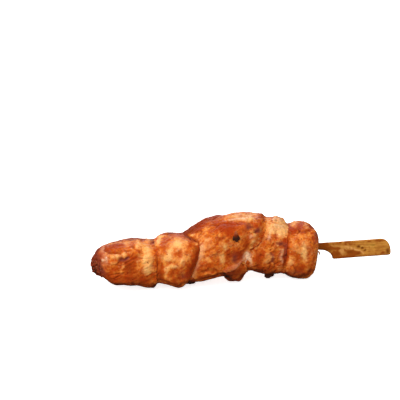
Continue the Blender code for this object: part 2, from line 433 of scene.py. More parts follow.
def nearest_on(tree_name, places, reach):
    """The way from each point to another piece, and how long it is, in millimetres up to a reach."""
    metres = places * MM + NECK_ARRAY
    ways = np.zeros_like(places)
    lengths = np.full(len(places), reach)
    for number, point in enumerate(metres.tolist()):
        found, _, _, length = TREES[tree_name].find_nearest(point, reach * MM)
        if found is not None:
            ways[number] = (np.array(found) - metres[number]) / MM
            lengths[number] = length / MM
    return ways, lengths


def seams_of(node):
    """The seams of a chunk: each one's number along the row, and the node beyond it."""
    row = CHUNK_NODES.index(node)
    sides = [side for side in (row - 1, row + 1) if 0 <= side < len(CHUNK_NODES)]
    return [(min(side, row), CHUNK_NODES[side]) for side in sides]


print("seams along the row:", len(CHUNK_NODES) - 1)

# %% Fill the grooves of the whole row
BALL = 2.2


def filled_row(radius):
    """The whole row with its grooves filled, as if a ball were rolled along them."""
    shape = bmesh.new()
    for node in CHUNK_NODES:
        chunk = merged_copy(node)
        spare = bpy.data.meshes.new("spare")
        chunk.to_mesh(spare)
        shape.from_mesh(spare)
        chunk.free()
        bpy.data.meshes.remove(spare)
    row = add_piece("filled_row", shape)
    remesh(row, COARSE_VOXEL, smooth_steps=3)
    for step in (radius, -radius):
        places, normals = read_points(row.data)
        write_points(row.data, places + step * normals)
        remesh(row, COARSE_VOXEL, smooth_steps=2)
    shape = bmesh.new()
    shape.from_mesh(row.data)
    print("the filled row has", len(shape.faces), "faces")
    bpy.data.objects.remove(row)
    return tree_of_shape(shape)


TREES["filled_row"] = filled_row(BALL)

# %% Draw a chunk's skin to its neighbours
SEAM_REACH = 5.5
SEAM_NEAR = 0.45 * SEAM_REACH
JUST_OVER_HALF = 0.51
FILL_START = 2.5
FILL_DEPTH = 2.6
FILL_NEAR = 0.6 * FILL_DEPTH
# How fully the groove over each seam is filled, from the charred end on.
SEAM_FILL = (0.9, 0.35, 1.0, 1.0)


def draw_to_neighbours(places, node):
    """Draws the skin up to the seams, and over the grooves above them."""
    pressed = []
    fill = np.zeros(len(places))
    for seam, neighbour in seams_of(node):
        ways, lengths = nearest_on(neighbour, places, SEAM_REACH)
        pressed.append((ways, lengths))
        fill = np.maximum(fill, SEAM_FILL[seam] * (1.0 - smooth_step(FILL_START, SEAM_REACH, lengths)))
        share = JUST_OVER_HALF * (1.0 - smooth_step(SEAM_NEAR, SEAM_REACH, lengths))
        places = places + ways * share[:, None]
    ways, depths = nearest_on("filled_row", places, FILL_DEPTH)
    fill *= 1.0 - smooth_step(FILL_NEAR, FILL_DEPTH, depths)
    return places + ways * fill[:, None], fill, pressed


print("how fully the seam after each chunk is filled:", dict(zip(CHUNK_NODES, SEAM_FILL)))

# %% Smooth what was drawn over, and close the skin on the stick
SMOOTH_PASSES = 4
STICK_REACH = 1.4
STICK_NEAR = 0.9
STICK_SKIN = 0.06


def smooth_skin(piece, chosen):
    shape = bmesh.new()
    shape.from_mesh(piece.data)
    shape.verts.ensure_lookup_table()
    verts = [shape.verts[number] for number in np.nonzero(chosen)[0]]
    for _ in range(SMOOTH_PASSES):
        bmesh.ops.smooth_vert(shape, verts=verts, factor=0.5,
                              use_axis_x=True, use_axis_y=True, use_axis_z=True)
    shape.to_mesh(piece.data)
    shape.free()


def close_seams(piece, node):
    """Closes the skin on its neighbours and the stick; returns the ways to them, the stick's last."""
    places, _ = read_points(piece.data)
    places, fill, pressed = draw_to_neighbours(places, node)
    write_points(piece.data, places)
    smooth_skin(piece, fill > 0.05)
    places, _ = read_points(piece.data)
    ways, lengths = nearest_on("bamboo_skewer", places, STICK_REACH)
    share = 1.0 - smooth_step(STICK_NEAR, STICK_REACH, lengths)
    share *= np.maximum(1.0 - STICK_SKIN / lengths, 0.0)
    write_points(piece.data, places + ways * share[:, None])
    return [*pressed, (ways, lengths)]


print("the skin stops", STICK_SKIN, "mm short of the stick")

# %% What the seams mean for the sauce, the painted shade and the carving
# How dark each seam is painted, from the charred end on: partly sauce gathered there, partly painted shade
# in the groove.
SEAM_SAUCE_AND_SHADE = (0.9, 1.0, 0.15, 0.4)
SEAM_DARK_REACH = (0.3, 2.6)


def seam_sauce_and_shade(pressed, node):
    """How dark the seams are painted, from 0 to 1: partly sauce, partly painted shade."""
    seam_dark = np.zeros(len(pressed[0][1]))
    for (seam, _), (_, lengths) in zip(seams_of(node), pressed):
        seam_dark = np.maximum(seam_dark, SEAM_SAUCE_AND_SHADE[seam] * (1.0 - smooth_step(*SEAM_DARK_REACH, lengths)))
    return seam_dark


def freedom(pressed, normals):
    """1 where the skin can rise freely, 0 where it would rise into a neighbour or the stick."""
    free = np.ones(len(normals))
    for ways, lengths in pressed:
        towards = np.sum(ways * normals, axis=1) / np.maximum(lengths, 0.05)
        near = 1.0 - smooth_step(0.2, 2.4, lengths)
        free = np.minimum(free, 1.0 - near * smooth_step(-0.1, 0.6, towards))
    _, stick_lengths = pressed[-1]
    return np.minimum(free, smooth_step(0.3, 1.2, stick_lengths))


# The seams' darkening is partly sauce and partly painted shade.
print("sauce in the seam after each chunk:", dict(zip(CHUNK_NODES, SEAM_SAUCE_AND_SHADE)))

# %% [markdown]
# ## Carving the meat
# Cooked chicken shows bundles of fibres, so the noise is stretched along the fibre. It swells the
# skin gently, and where the stretched noise passes through zero it leaves a thin wrinkle, as meat
# does when it shrinks. Displacement in the shader would be quicker, but the exported mesh would
# lose it, so the points themselves are moved. The marks then add the folds and creases of this
# very skewer.

# %% Stretch the noise along the fibre
FIBRE_STRETCH = 2.8
THREAD_STRETCH = 5.0


def fibre_places(places, fibre, stretch):
    """Squeezes the places along the fibre, so that noise read there comes out long."""
    direction = np.array(fibre, float)
    direction /= np.linalg.norm(direction)
    along = places @ direction
    return places - np.outer(along * (1.0 - 1.0 / stretch), direction)


lengthwise = fibre_places(np.array(((10.0, 0.0, 0.0),)), (1.0, 0.0, 0.0), FIBRE_STRETCH)
print("10 mm along the fibre counts as", lengthwise.round(1)[0, 0], "mm")

# %% Layers of noise
# How wide the blobs of each noise are, in millimetres.
SIZE = {"swell": 5.5, "strand": 2.4, "knob": 1.7, "thread": 1.5, "grain": 0.8, "hole": 1.3,
        "wrinkle": 5.0, "wrinkled_patch": 6.0}
WRINKLE_WIDTH = 0.055
HOLE_EDGE = (0.28, 0.50)
# How pitted each chunk is, from the charred end on.
PITS = (0.45, 0.30, 0.40, 0.80, 0.40)


def meat_layers(places, fibre, number):
    """Layers of noise for one chunk: carving lifts the skin by them and browning paints by them."""
    shift = (17.3 * number, 9.1 * number, 5.7 * number)
    fibres = fibre_places(places, fibre, FIBRE_STRETCH)
    threads = fibre_places(places, fibre, THREAD_STRETCH)
    hole = rough(places, SIZE["hole"], (shift[1], 4.4, shift[2]))
    fold = rough(fibres, SIZE["wrinkle"], (shift[2], 3.3, 1.2))
    wrinkle = np.exp(-(fold / WRINKLE_WIDTH) ** 2)
    wrinkle *= smooth_step(0.0, 0.25, rough(places, SIZE["wrinkled_patch"], (2.9, shift[0], 7.7)))
    return {
        "shift": shift,
        "swell": rough(places, SIZE["swell"], shift),
        "strand": rough(fibres, SIZE["strand"], shift),
        "knob": rough(places, SIZE["knob"], shift),
        "grain": rough(places, SIZE["grain"], shift),
        "thread": 1.0 - 2.0 * np.abs(rough(threads, SIZE["thread"], shift)),
        "wrinkle": wrinkle,
        "pit": PITS[number - 1] * smooth_step(*HOLE_EDGE, hole),
        "crumb": PITS[number - 1] * smooth_step(*HOLE_EDGE, -hole),
    }


print("the widest and the finest unevenness, in mm:", max(SIZE.values()), min(SIZE.values()))

# %% Lift the skin by its layers
# How far each layer lifts the skin, in millimetres.
RISE = {"swell": 0.38, "strand": 0.30, "knob": 0.18, "thread": 0.12, "grain": 0.13, "crumb": 0.18,
        "wrinkle": -0.45, "pit": -0.40}
BURNT_RISE = {"knob": 0.35, "grain": 0.25}
BURNT_END = (-119.0, -113.0)
UNDERSIDE = (0.3, 0.8)
UNDERSIDE_FLATTER = 0.6


def meat_relief(places, normals, skin):
    """How far the layers lift the skin, in mm; the burnt end is rougher, and the underside flatter."""
    burnt = 1.0 - smooth_step(*BURNT_END, places[:, 0])
    under = smooth_step(*UNDERSIDE, -normals[:, 2])
    relief = sum(rise * skin[name] for name, rise in RISE.items())
    relief += burnt * sum(rise * skin[name] for name, rise in BURNT_RISE.items())
    return relief * (1.0 - UNDERSIDE_FLATTER * under)


print("the deepest pits are", round(-RISE["pit"] * max(PITS), 2), "mm deep")

# %% Push the skin out and in
WARP_SIZE = 2.6
WARP = 0.7
FRAY_SIZE = 0.9
FRAY = 0.22


def rough_pair(places, size, first_shift, second_shift):
    """Two noises side by side, to shake a place across and up."""
    return np.stack((rough(places, size, first_shift), rough(places, size, second_shift)), axis=1)


def shaken_front(places):
    """Front places, shaken a little, so that no mark has a smooth rim."""
    warp = rough_pair(places, WARP_SIZE, (3.1, 4.7, 8.2), (13.1, 2.2, 6.4))
    fray = rough_pair(places, FRAY_SIZE, (1.1, 8.7, 2.2), (3.1, 2.9, 9.4))
    return front_places(places) + WARP * warp + FRAY * fray


def carve(piece, node, number, fibre, spots, lines):
    """Closes the seams and carves one chunk; returns what browning has to know of its skin."""
    pressed = close_seams(piece, node)
    places, normals = read_points(piece.data)
    skin = meat_layers(places, fibre, number)
    seen = facing(places, normals)
    paints, spot_rise, line_rise = lay_marks(shaken_front(places), seen, spots, lines)
    relief = meat_relief(places, normals, skin) + spot_rise + line_rise
    moved = places + normals * (relief * freedom(pressed, normals))[:, None]
    moved[:, 2] = np.maximum(moved[:, 2], -AXIS_HEIGHT / MM)
    write_points(piece.data, moved)
    skin.update(places=moved, normals=normals, seen=seen, paints=paints, bump=spot_rise,
                seam=seam_sauce_and_shade(pressed, node))
    return skin


print("the rims of the marks are shaken by up to", round(WARP + FRAY, 2), "mm")

# %% [markdown]
# ## Browning
# Heat and sugar colour the marinade from yellow through orange to red-brown, and at last black. One
# picture wrapped round the chunk would need a second skin of seams, so the colours are kept on the points
# instead, as paints from 0 to 1: pale is white meat, red is thick sauce, wine is sauce that has cooked
# dark, char is burnt, grey is sinew, and wet is oily. In places pale and grey also carry painted
# highlights and sheen, and red, wine and char carry painted shade in hollows, in seams, underneath and
# along the rim. The shader mixes them, so that each can be tuned without carving again.

# %% How the browning varies
PATCH_SIZE = 3.2
FLECK_SIZE = 1.4
CLOUD_SIZE = 7.5


def blotches(places, shift):
    """Noise at three scales, by which the browning varies over the skin."""
    return {
        "patch": rough(places, PATCH_SIZE, shift),
        "fleck": rough(places, FLECK_SIZE, (shift[1], shift[0], 4.0)),
        "cloud": rough(places, CLOUD_SIZE, (8.0, shift[0], shift[1])),
    }


def browned_and_shaded_rim(places, normals, patch):
    """1 along the upright sides that curve out of sight of the front: partly browned edges, partly painted
    shade.
    """
    turned = np.abs(towards_eye(places, normals))
    rim = 1.0 - smooth_step(0.05, 0.45, turned + 0.08 * patch)
    # The rim is weaker on skin that faces up, where the light from above falls.
    return rim * (1.0 - 0.75 * smooth_step(0.2, 0.8, normals[:, 2]))


print("clouds, patches and flecks, in mm:", CLOUD_SIZE, PATCH_SIZE, FLECK_SIZE)

# %% What the grill alone would do
def grilled_paints(skin, noises, rim, burn_and_shade_height):
    """Pale, red and char before any mark. Skin that faces down is darkened, most of all below a height
    given in mm, partly as char and partly as painted shade.

    Where no mark was laid, the clouds make broad pale, red and burnt zones. Everywhere, strands and grains
    are paler on top and redder between, and wrinkles, pits and the rim are darker. That is partly sauce in
    the hollows and browned edges, and partly a painted highlight on the peaks and painted shade in the
    hollows and along the rim.
    """
    places, normals = skin["places"], skin["normals"]
    patch, fleck, cloud = noises["patch"], noises["fleck"], noises["cloud"]
    unseen = 1.0 - 0.75 * skin["seen"]
    streak = 0.7 * skin["strand"] + 0.35 * skin["thread"] + 0.4 * fleck
    zone = 0.55 * patch + 0.9 * cloud

    pale = 0.8 * smooth_step(0.0, 0.6, zone + 0.4 * fleck + 0.25 * skin["strand"]) * unseen
    # Partly a painted highlight: paler on the peaks of strands, grains and crumbs.
    pale += 0.16 * smooth_step(0.1, 0.5, streak) + 0.30 * smooth_step(0.15, 0.55, skin["grain"])
    pale += 0.5 * skin["crumb"]

    # Partly painted shade: redder in wrinkles, between strands and grains, and in pits.
    red = 0.7 * smooth_step(0.0, 0.55, -zone - 0.3 * fleck) * unseen + 0.3 * skin["wrinkle"]
    red += 0.20 * smooth_step(0.1, 0.5, -streak) + 0.30 * smooth_step(0.15, 0.55, -skin["grain"])
    # Redder along the rim: partly browned edges, partly painted shade.
    red += 0.3 * rim + 0.6 * skin["pit"]

    # Char and painted shade: skin that faces down, and low skin most of all, is darker.
    under = 1.0 - smooth_step(-0.95, -0.45, normals[:, 2] + 0.2 * patch)
    low = 1.0 - smooth_step(burn_and_shade_height - 2.5, burn_and_shade_height + 3.0, places[:, 2] + 2.0 * cloud)
    # Wrinkles, pits and the rim also add char: partly burnt, partly painted shade.
    char = 0.20 * under + 0.20 * low * under + 0.22 * skin["wrinkle"] + 0.22 * rim
    char += 0.30 * smooth_step(0.15, 0.7, fleck + 0.5 * cloud) * unseen + 0.2 * skin["pit"]
    return pale, red, char

# %% Where the skin is wet
def wetness(skin, fleck, tip):
    """Oil lies on tops, crumbs, grains and bumps, and dries up where the sauce has cooked dark."""
    paints = skin["paints"]
    top = smooth_step(0.25, 0.85, skin["normals"][:, 2] + 0.15 * fleck)
    wet = 0.06 + 0.08 * top * (1.0 + fleck) + 0.4 * skin["crumb"]
    wet += 0.25 * smooth_step(0.1, 0.5, skin["grain"]) + 0.5 * np.maximum(skin["bump"], 0.0)
    wet += paints[WET] * (1.0 + 0.6 * fleck)
    dull = paints[WINE] + 0.5 * paints[RED] + 0.8 * paints[CHAR] + tip
    return wet * (1.0 - 0.85 * np.clip(dull, 0.0, 1.0))

# %% Lay the marks over the grill's browning
def brown(piece, skin, burn_and_shade_height, burn_tip):
    """Paints one chunk; burn_tip is the place along the stick up to which its end is burnt."""
    places, paints, seam = skin["places"], skin["paints"], skin["seam"]
    noises = blotches(places, skin["shift"])
    patch, fleck = noises["patch"], noises["fleck"]
    rim = browned_and_shaded_rim(places, skin["normals"], patch)
    pale, red, char = grilled_paints(skin, noises, rim, burn_and_shade_height)
    tip = 1.0 - smooth_step(burn_tip - 3.0, burn_tip + 1.5, places[:, 0] + 1.5 * patch + fleck)
    # Grey paint, which is sinew and in places a painted sheen, clears the red and wine under it.
    sinew_and_sheen_bare = 1.0 - 0.7 * np.clip(paints[GREY], 0.0, 1.0)

    pale += paints[PALE] * (0.95 + 0.3 * patch + 0.3 * fleck) - 0.8 * paints[RED] - 0.8 * paints[CHAR]
    # Near the seams, red and char are partly sauce and partly painted shade in the groove.
    red += paints[RED] - 0.8 * paints[PALE] + 0.6 * seam
    char += 0.7 * paints[CHAR] - 0.3 * paints[PALE] - 0.4 * paints[GREY] + 0.1 * seam
    # Wine along the rim is partly browned edge and partly painted shade; the burnt tip adds wine too.
    wine = paints[WINE] * (1.0 + 0.4 * fleck) + 0.35 * rim + 0.85 * tip
    coats = {
        PALE: pale * (1.0 - tip),
        RED: red * sinew_and_sheen_bare,
        WINE: wine * sinew_and_sheen_bare,
        CHAR: char + 0.25 * tip * (1.0 + fleck),
        GREY: paints[GREY],
        WET: wetness(skin, fleck, tip),
    }
    for name, coat in coats.items():
        write_attribute(piece.data, name, coat)


print("paints on the skin:", ", ".join(PAINTS))

# %% [markdown]
# ## The shader of the meat
# One material serves all the chunks. A single noise would make the meat look like marble, so the
# material starts from an even orange, breaks it up with noise at three scales, and lays the
# paints over it one by one. A thin oily coat, strong only where the skin is wet, gives the sharp
# lights, and a little light that passes under the surface keeps the meat from looking like clay.

# %% Textures and ramps
def new_node(tree, kind, **settings):
    node = tree.nodes.new(kind)
    for name, value in settings.items():
        setattr(node, name, value)
    return node


def noise_node(tree, source, scale, detail):
    node = new_node(tree, "ShaderNodeTexNoise")
    node.inputs["Scale"].default_value = scale
    node.inputs["Detail"].default_value = detail
    tree.links.new(source, node.inputs["Vector"])
    return node.outputs["Fac"]


def ramp_node(tree, source, stops):
    node = new_node(tree, "ShaderNodeValToRGB")
    elements = node.color_ramp.elements
    while len(elements) < len(stops):
        elements.new(0.5)
    for element, (position, colour) in zip(elements, stops):
        element.position = position
        element.color = colour
    tree.links.new(source, node.inputs["Fac"])
    return node.outputs["Color"]


def grey_stop(position, value):
    return position, (value, value, value, 1.0)


print("a stop in a grey ramp:", grey_stop(0.5, 0.25))

# %% Mixing colours and numbers
def plug(tree, value, socket):
    """Links a socket, or sets a plain value."""
    if isinstance(value, bpy.types.NodeSocket):
        tree.links.new(value, socket)
    else:
        socket.default_value = value


def mix_node(tree, amount, first, second):
    node = new_node(tree, "ShaderNodeMix", data_type="RGBA")
    tree.links.new(amount, node.inputs["Factor"])
    plug(tree, first, node.inputs[6])
    plug(tree, second, node.inputs[7])
    return node.outputs[2]


def math_node(tree, operation, first, second):
    node = new_node(tree, "ShaderNodeMath", operation=operation)
    plug(tree, first, node.inputs[0])
    plug(tree, second, node.inputs[1])
    return node.outputs["Value"]

# %% Paints, bumps and empty materials
def paint_socket(tree, name):
    return new_node(tree, "ShaderNodeAttribute", attribute_name=name).outputs["Fac"]


def uneven_paint(tree, name, least, texture, operation="ADD"):
    """A paint on the skin, made thicker here and there by a texture."""
    thickness = math_node(tree, operation, least, texture)
    return math_node(tree, "MULTIPLY", paint_socket(tree, name), thickness)


def bump_node(tree, height, strength, distance):
    node = new_node(tree, "ShaderNodeBump")
    node.inputs["Strength"].default_value = strength
    node.inputs["Distance"].default_value = distance
    tree.links.new(height, node.inputs["Height"])
    return node.outputs["Normal"]


def new_material(name):
    """An empty material: itself, its node tree and its shader."""
    material = bpy.data.materials.new(name)
    material.use_nodes = True
    return material, material.node_tree, material.node_tree.nodes["Principled BSDF"]

# %% Mix the colours of grilled chicken
ORANGE_DARK = (0.470, 0.060, 0.004, 1.0)
ORANGE = (0.610, 0.120, 0.008, 1.0)
ORANGE_LIGHT = (0.740, 0.215, 0.024, 1.0)
CREAM = (0.900, 0.465, 0.148, 1.0)
SINEW_AND_SHEEN = (0.780, 0.460, 0.270, 1.0)
SAUCE = (0.330, 0.030, 0.002, 1.0)
BURGUNDY = (0.210, 0.040, 0.026, 1.0)
BROWN = (0.170, 0.021, 0.003, 1.0)
BLACK = (0.045, 0.015, 0.009, 1.0)


def meat_colour(tree, place, broad):
    """Orange meat, then its pale, grey, red, wine and burnt paints over each other."""
    fine = noise_node(tree, place, scale=1300.0, detail=4.0)
    middle = noise_node(tree, place, scale=780.0, detail=3.0)
    speck = noise_node(tree, place, scale=1050.0, detail=1.0)
    base = ramp_node(tree, broad, ((0.37, ORANGE_DARK), (0.50, ORANGE), (0.63, ORANGE_LIGHT)))
    dapple = ramp_node(tree, middle, (grey_stop(0.48, 0.0), grey_stop(0.62, 0.4)))
    base = mix_node(tree, dapple, base, ORANGE_DARK)
    freckle = ramp_node(tree, fine, (grey_stop(0.56, 0.0), grey_stop(0.68, 0.6)))
    base = mix_node(tree, freckle, base, ORANGE_LIGHT)

    base = mix_node(tree, uneven_paint(tree, PALE, 1.35, fine, "SUBTRACT"), base, CREAM)
    # Grey paint: the colour of sinew, and in places a painted sheen or glint.
    base = mix_node(tree, paint_socket(tree, GREY), base, SINEW_AND_SHEEN)
    base = mix_node(tree, uneven_paint(tree, RED, 0.4, broad), base, SAUCE)
    base = mix_node(tree, uneven_paint(tree, WINE, 0.4, middle), base, BURGUNDY)

    char = uneven_paint(tree, CHAR, 0.55, fine)
    scorched = ramp_node(tree, char, (grey_stop(0.0, 0.0), grey_stop(0.65, 1.0)))
    base = mix_node(tree, scorched, base, BROWN)
    burnt = ramp_node(tree, char, (grey_stop(0.6, 0.0), grey_stop(1.0, 1.0)))
    base = mix_node(tree, burnt, base, BLACK)
    burnt_speck = ramp_node(tree, speck, (grey_stop(0.66, 0.0), grey_stop(0.72, 0.45)))
    return mix_node(tree, burnt_speck, base, BROWN)

# %% Make the meat's material
def make_meat_material():
    material, tree, shader = new_material("marinated_chicken")
    place = new_node(tree, "ShaderNodeTexCoord").outputs["Object"]
    broad = noise_node(tree, place, scale=420.0, detail=3.0)
    tree.links.new(meat_colour(tree, place, broad), shader.inputs["Base Color"])
    gloss = ramp_node(tree, broad, (grey_stop(0.3, 0.32), grey_stop(0.7, 0.55)))
    tree.links.new(gloss, shader.inputs["Roughness"])
    shader.inputs["Specular IOR Level"].default_value = 0.04

    shader.inputs["Subsurface Weight"].default_value = 0.15
    shader.inputs["Subsurface Radius"].default_value = (1.0, 0.35, 0.12)
    shader.inputs["Subsurface Scale"].default_value = 1.2 * MM

    tree.links.new(paint_socket(tree, WET), shader.inputs["Coat Weight"])
    shader.inputs["Coat Roughness"].default_value = 0.15

    pores = noise_node(tree, place, scale=2200.0, detail=4.0)
    pores = bump_node(tree, pores, strength=0.6, distance=0.3 * MM)
    tree.links.new(pores, shader.inputs["Normal"])
    tree.links.new(pores, shader.inputs["Coat Normal"])
    return material


MEAT = make_meat_material()
print(MEAT.name, "has", len(MEAT.node_tree.nodes), "nodes")

# %% [markdown]
# ## Making a chunk
# The five chunks differ in their lumps, their fibre and their marks, but they are all made the
# same way: refine the skin, carve it, brown it. So one function makes a chunk, and after it each
# chunk has its own cell of marks, from the charred end to the handle.

# %% Make one chunk
chunks = []
NOT_BURNT = -999.0


def make_chunk(name, node, fibre, burn_and_shade_height, lumps, spots, lines, burn_tip=NOT_BURNT):
    """Makes one chunk; fibre is the way its strands run, burn_and_shade_height and burn_tip are in mm."""
    chunk = fine_chunk(name, node, lumps)
    skin = carve(chunk, node, len(chunks) + 1, fibre, spots, lines)
    brown(chunk, skin, burn_and_shade_height, burn_tip)
    chunk.data.materials.clear()
    chunk.data.materials.append(MEAT)
    chunk.data.shade_smooth()
    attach(chunk, "root")
    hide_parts(node)
    chunks.append(chunk)
    print(name, len(spots), "blots,", len(lines), "lines,", len(chunk.data.vertices), "vertices")

# %% [markdown]
# ### The chunk at the charred end
# The tip hung over the hottest coals, so it is wine red and rougher than the rest. A rolled fold lies
# along its top. It could be cut out of the mesh and bent over, but a line that rises, with a dark line
# that sinks right below it, looks the same and keeps the skin whole. The dark line is painted shade under
# the fold. The pale line on the fold is a painted highlight, and so are the pale and grey dabs near the
# tip and on the top. Towards the next chunk the skin is smooth and pale, because the two were pressed
# together for long. Along the bottom the skin is darkened, partly char and partly painted shade.

# %% The lumps and blots of the charred end
CHARRED_END_LUMPS = (
    lump((-119.5, 0.0, 0.0), (3.5, 9.0, 9.0), -1.6),
    lump((-114.5, -2.0, -9.0), (3.6, 7.0, 5.0), 1.8),
    lump((-108.0, -2.0, -11.0), (4.5, 7.0, 4.0), -0.3),
    lump((-108.5, 3.0, 11.0), (6.0, 9.0, 5.0), -1.9),
    lump((-97.5, 3.0, 12.0), (3.5, 9.0, 5.0), 0.7),
    lump((-87.5, 1.0, 11.0), (2.6, 9.0, 6.0), 1.1),
    lump((-88.2, -2.0, -13.0), (1.9, 7.0, 4.0), -2.0),
)
CHARRED_END_SPOTS = (
    mark(WET, -113.0, 2.5, 2.0, 4.5, amount=0.7),
    mark(RED, -108.0, -6.5, 7.0, 4.6, amount=0.30, edge=3),
    mark(RED, -101.0, -4.5, 3.0, 7.0, amount=0.55, edge=3),
    mark(RED, -98.5, 1.5, 1.6, 2.0, amount=0.5),
    mark(RED, -93.0, -11.5, 5.5, 2.2, amount=0.4),
    mark(WINE, -118.8, -2.2, 2.8, 4.6, amount=0.9, edge=3),
    mark(WINE, -116.0, -6.2, 2.6, 2.6, amount=0.8, edge=3),
    mark(RED, -116.4, 4.4, 2.6, 4.2, amount=0.6, edge=3),
    mark(RED, -113.6, 1.0, 2.2, 5.0, amount=0.35),
    mark(PALE, -102.5, 9.0, 1.5, 0.9, amount=0.35),
    # Painted highlights on the top.
    mark(PALE, -95.9, 9.0, 0.9, 0.9, amount=0.7, rise=0.2),
    mark(PALE, -96.9, 7.2, 0.8, 0.8, amount=0.6),
    mark(PALE, -90.2, 10.6, 1.2, 0.8, amount=0.9),
    mark(CHAR, -99.0, 7.6, 0.9, 0.8, amount=0.35, rise=-0.2),
    mark(CHAR, -94.1, 10.8, 1.0, 0.8, amount=0.55, rise=-0.3),
    mark(WINE, -88.4, 9.4, 1.2, 2.0, amount=1.0),
    mark(PALE, -106.6, 2.4, 3.8, 1.1, amount=0.50, rise=0.7, edge=3),
    mark(PALE, -103.3, 2.8, 1.0, 1.0, amount=0.5, rise=0.2),
    # Painted highlights and sheen near the tip: the pinkish grey patch, its specks and the pale dabs.
    mark(GREY, -114.2, 2.6, 2.2, 4.4, amount=0.25, edge=3),
    mark(GREY, -114.6, 1.1, 0.5, 0.6, amount=1.0, rise=0.4),
    mark(GREY, -113.0, 1.0, 0.5, 1.3, amount=0.7, rise=0.4),
    mark(PALE, -112.6, 4.4, 0.6, 0.6, amount=0.6, rise=0.3),
    mark(PALE, -113.8, 3.6, 0.8, 0.5, amount=0.4, rise=0.2),
    mark(GREY, -114.5, 6.6, 0.7, 1.5, tilt=-20, amount=0.45, rise=0.3),
    mark(CHAR, -116.0, 0.7, 0.7, 0.6, amount=0.7, rise=-0.3),
    # Painted highlight below the fold.
    mark(PALE, -108.3, -1.9, 1.5, 0.8, amount=0.35),
    mark(CHAR, -102.3, 5.0, 1.2, 0.7, amount=0.35, rise=-0.3),
    mark(CHAR, -102.3, -3.6, 1.0, 1.6, amount=0.3, rise=-0.2),
    mark(CHAR, -100.4, -6.0, 1.2, 2.4, amount=0.3, rise=-0.2),
    mark(CHAR, -98.6, -5.0, 0.8, 1.0, amount=0.2),
    mark(PALE, -91.4, -2.4, 2.2, 7.4, amount=0.85, rise=0.3, edge=4),
    mark(PALE, -92.8, 6.0, 1.6, 3.0, amount=0.45),
    mark(PALE, -91.4, -5.5, 1.3, 1.8, amount=0.5),
    mark(RED, -87.2, -1.0, 0.9, 11.0, amount=0.25, edge=3),
    mark(CHAR, -91.4, -9.6, 1.0, 0.9, amount=0.35),
    mark(CHAR, -118.8, -3.0, 2.4, 3.8, amount=0.45),
)
print("the charred end,", "lumps and blots:", len(CHARRED_END_LUMPS), len(CHARRED_END_SPOTS))

# %% The lines of the charred end, and the chunk itself
CHARRED_END_LINES = (
    crease(RED, ((-112.5, 7.2), (-109.0, 7.5), (-105.0, 7.6)), 1.3, amount=0.75, rise=1.0),
    # Painted highlight along the fold.
    crease(PALE, ((-111.5, 8.9), (-108.5, 9.2), (-105.0, 9.6)), 0.6, amount=0.3, rise=0.2),
    # Painted shade under the fold, in a line that also sinks.
    crease(CHAR, ((-113.6, 6.4), (-112.0, 5.2), (-109.0, 4.7), (-105.5, 4.9)), 0.7, amount=0.5, rise=-0.7),
    crease(WINE, ((-105.6, -0.2), (-103.8, 0.2), (-101.8, 1.2)), 0.8, amount=1.5, rise=-0.6),
    crease(PALE, ((-103.6, -2.2), (-104.6, -4.2), (-105.4, -7.0)), 0.7, amount=0.5, rise=0.35),
    crease(WINE, ((-119.8, 3.6), (-118.2, 6.2), (-116.2, 8.8), (-114.4, 10.8)), 1.2, amount=0.9),
    crease(WINE, ((-114.4, 10.2), (-110.0, 10.7), (-105.0, 11.0)), 1.0, amount=0.8),
    crease(WINE, ((-102.0, 11.6), (-94.0, 12.0), (-89.0, 11.4)), 0.9, amount=1.0),
    crease(RED, ((-114.0, -7.5), (-109.0, -10.3), (-104.0, -11.0), (-98.0, -11.6), (-92.0, -12.5)), 2.0,
           amount=0.45),
    # Partly char, partly painted shade along the bottom outline.
    crease(CHAR, ((-120.4, -3.0), (-118.4, -5.8), (-115.5, -7.2), (-113.8, -9.6), (-111.2, -11.6),
                  (-108.3, -13.0), (-104.0, -13.0), (-99.0, -13.5)), 1.1, amount=0.55),
    crease(CHAR, ((-99.0, -13.6), (-94.0, -14.4), (-90.0, -15.1), (-88.0, -15.1)), 0.8, amount=0.6),
)

make_chunk("charred_end_chunk", "chicken_1_charred_end", (1.0, 0.0, 0.25), -9.0,
           CHARRED_END_LUMPS, CHARRED_END_SPOTS, CHARRED_END_LINES, burn_tip=-116.5)

# %% [markdown]
# ### The pillow
# This short chunk has swollen like a pillow between its neighbours. One wide bare mark, which lifts
# and does not paint, rounds its cheek better than a finer mesh would. The cheek is pale with a red
# dimple, and dark sauce has gathered along the chunk's right edge and its top.

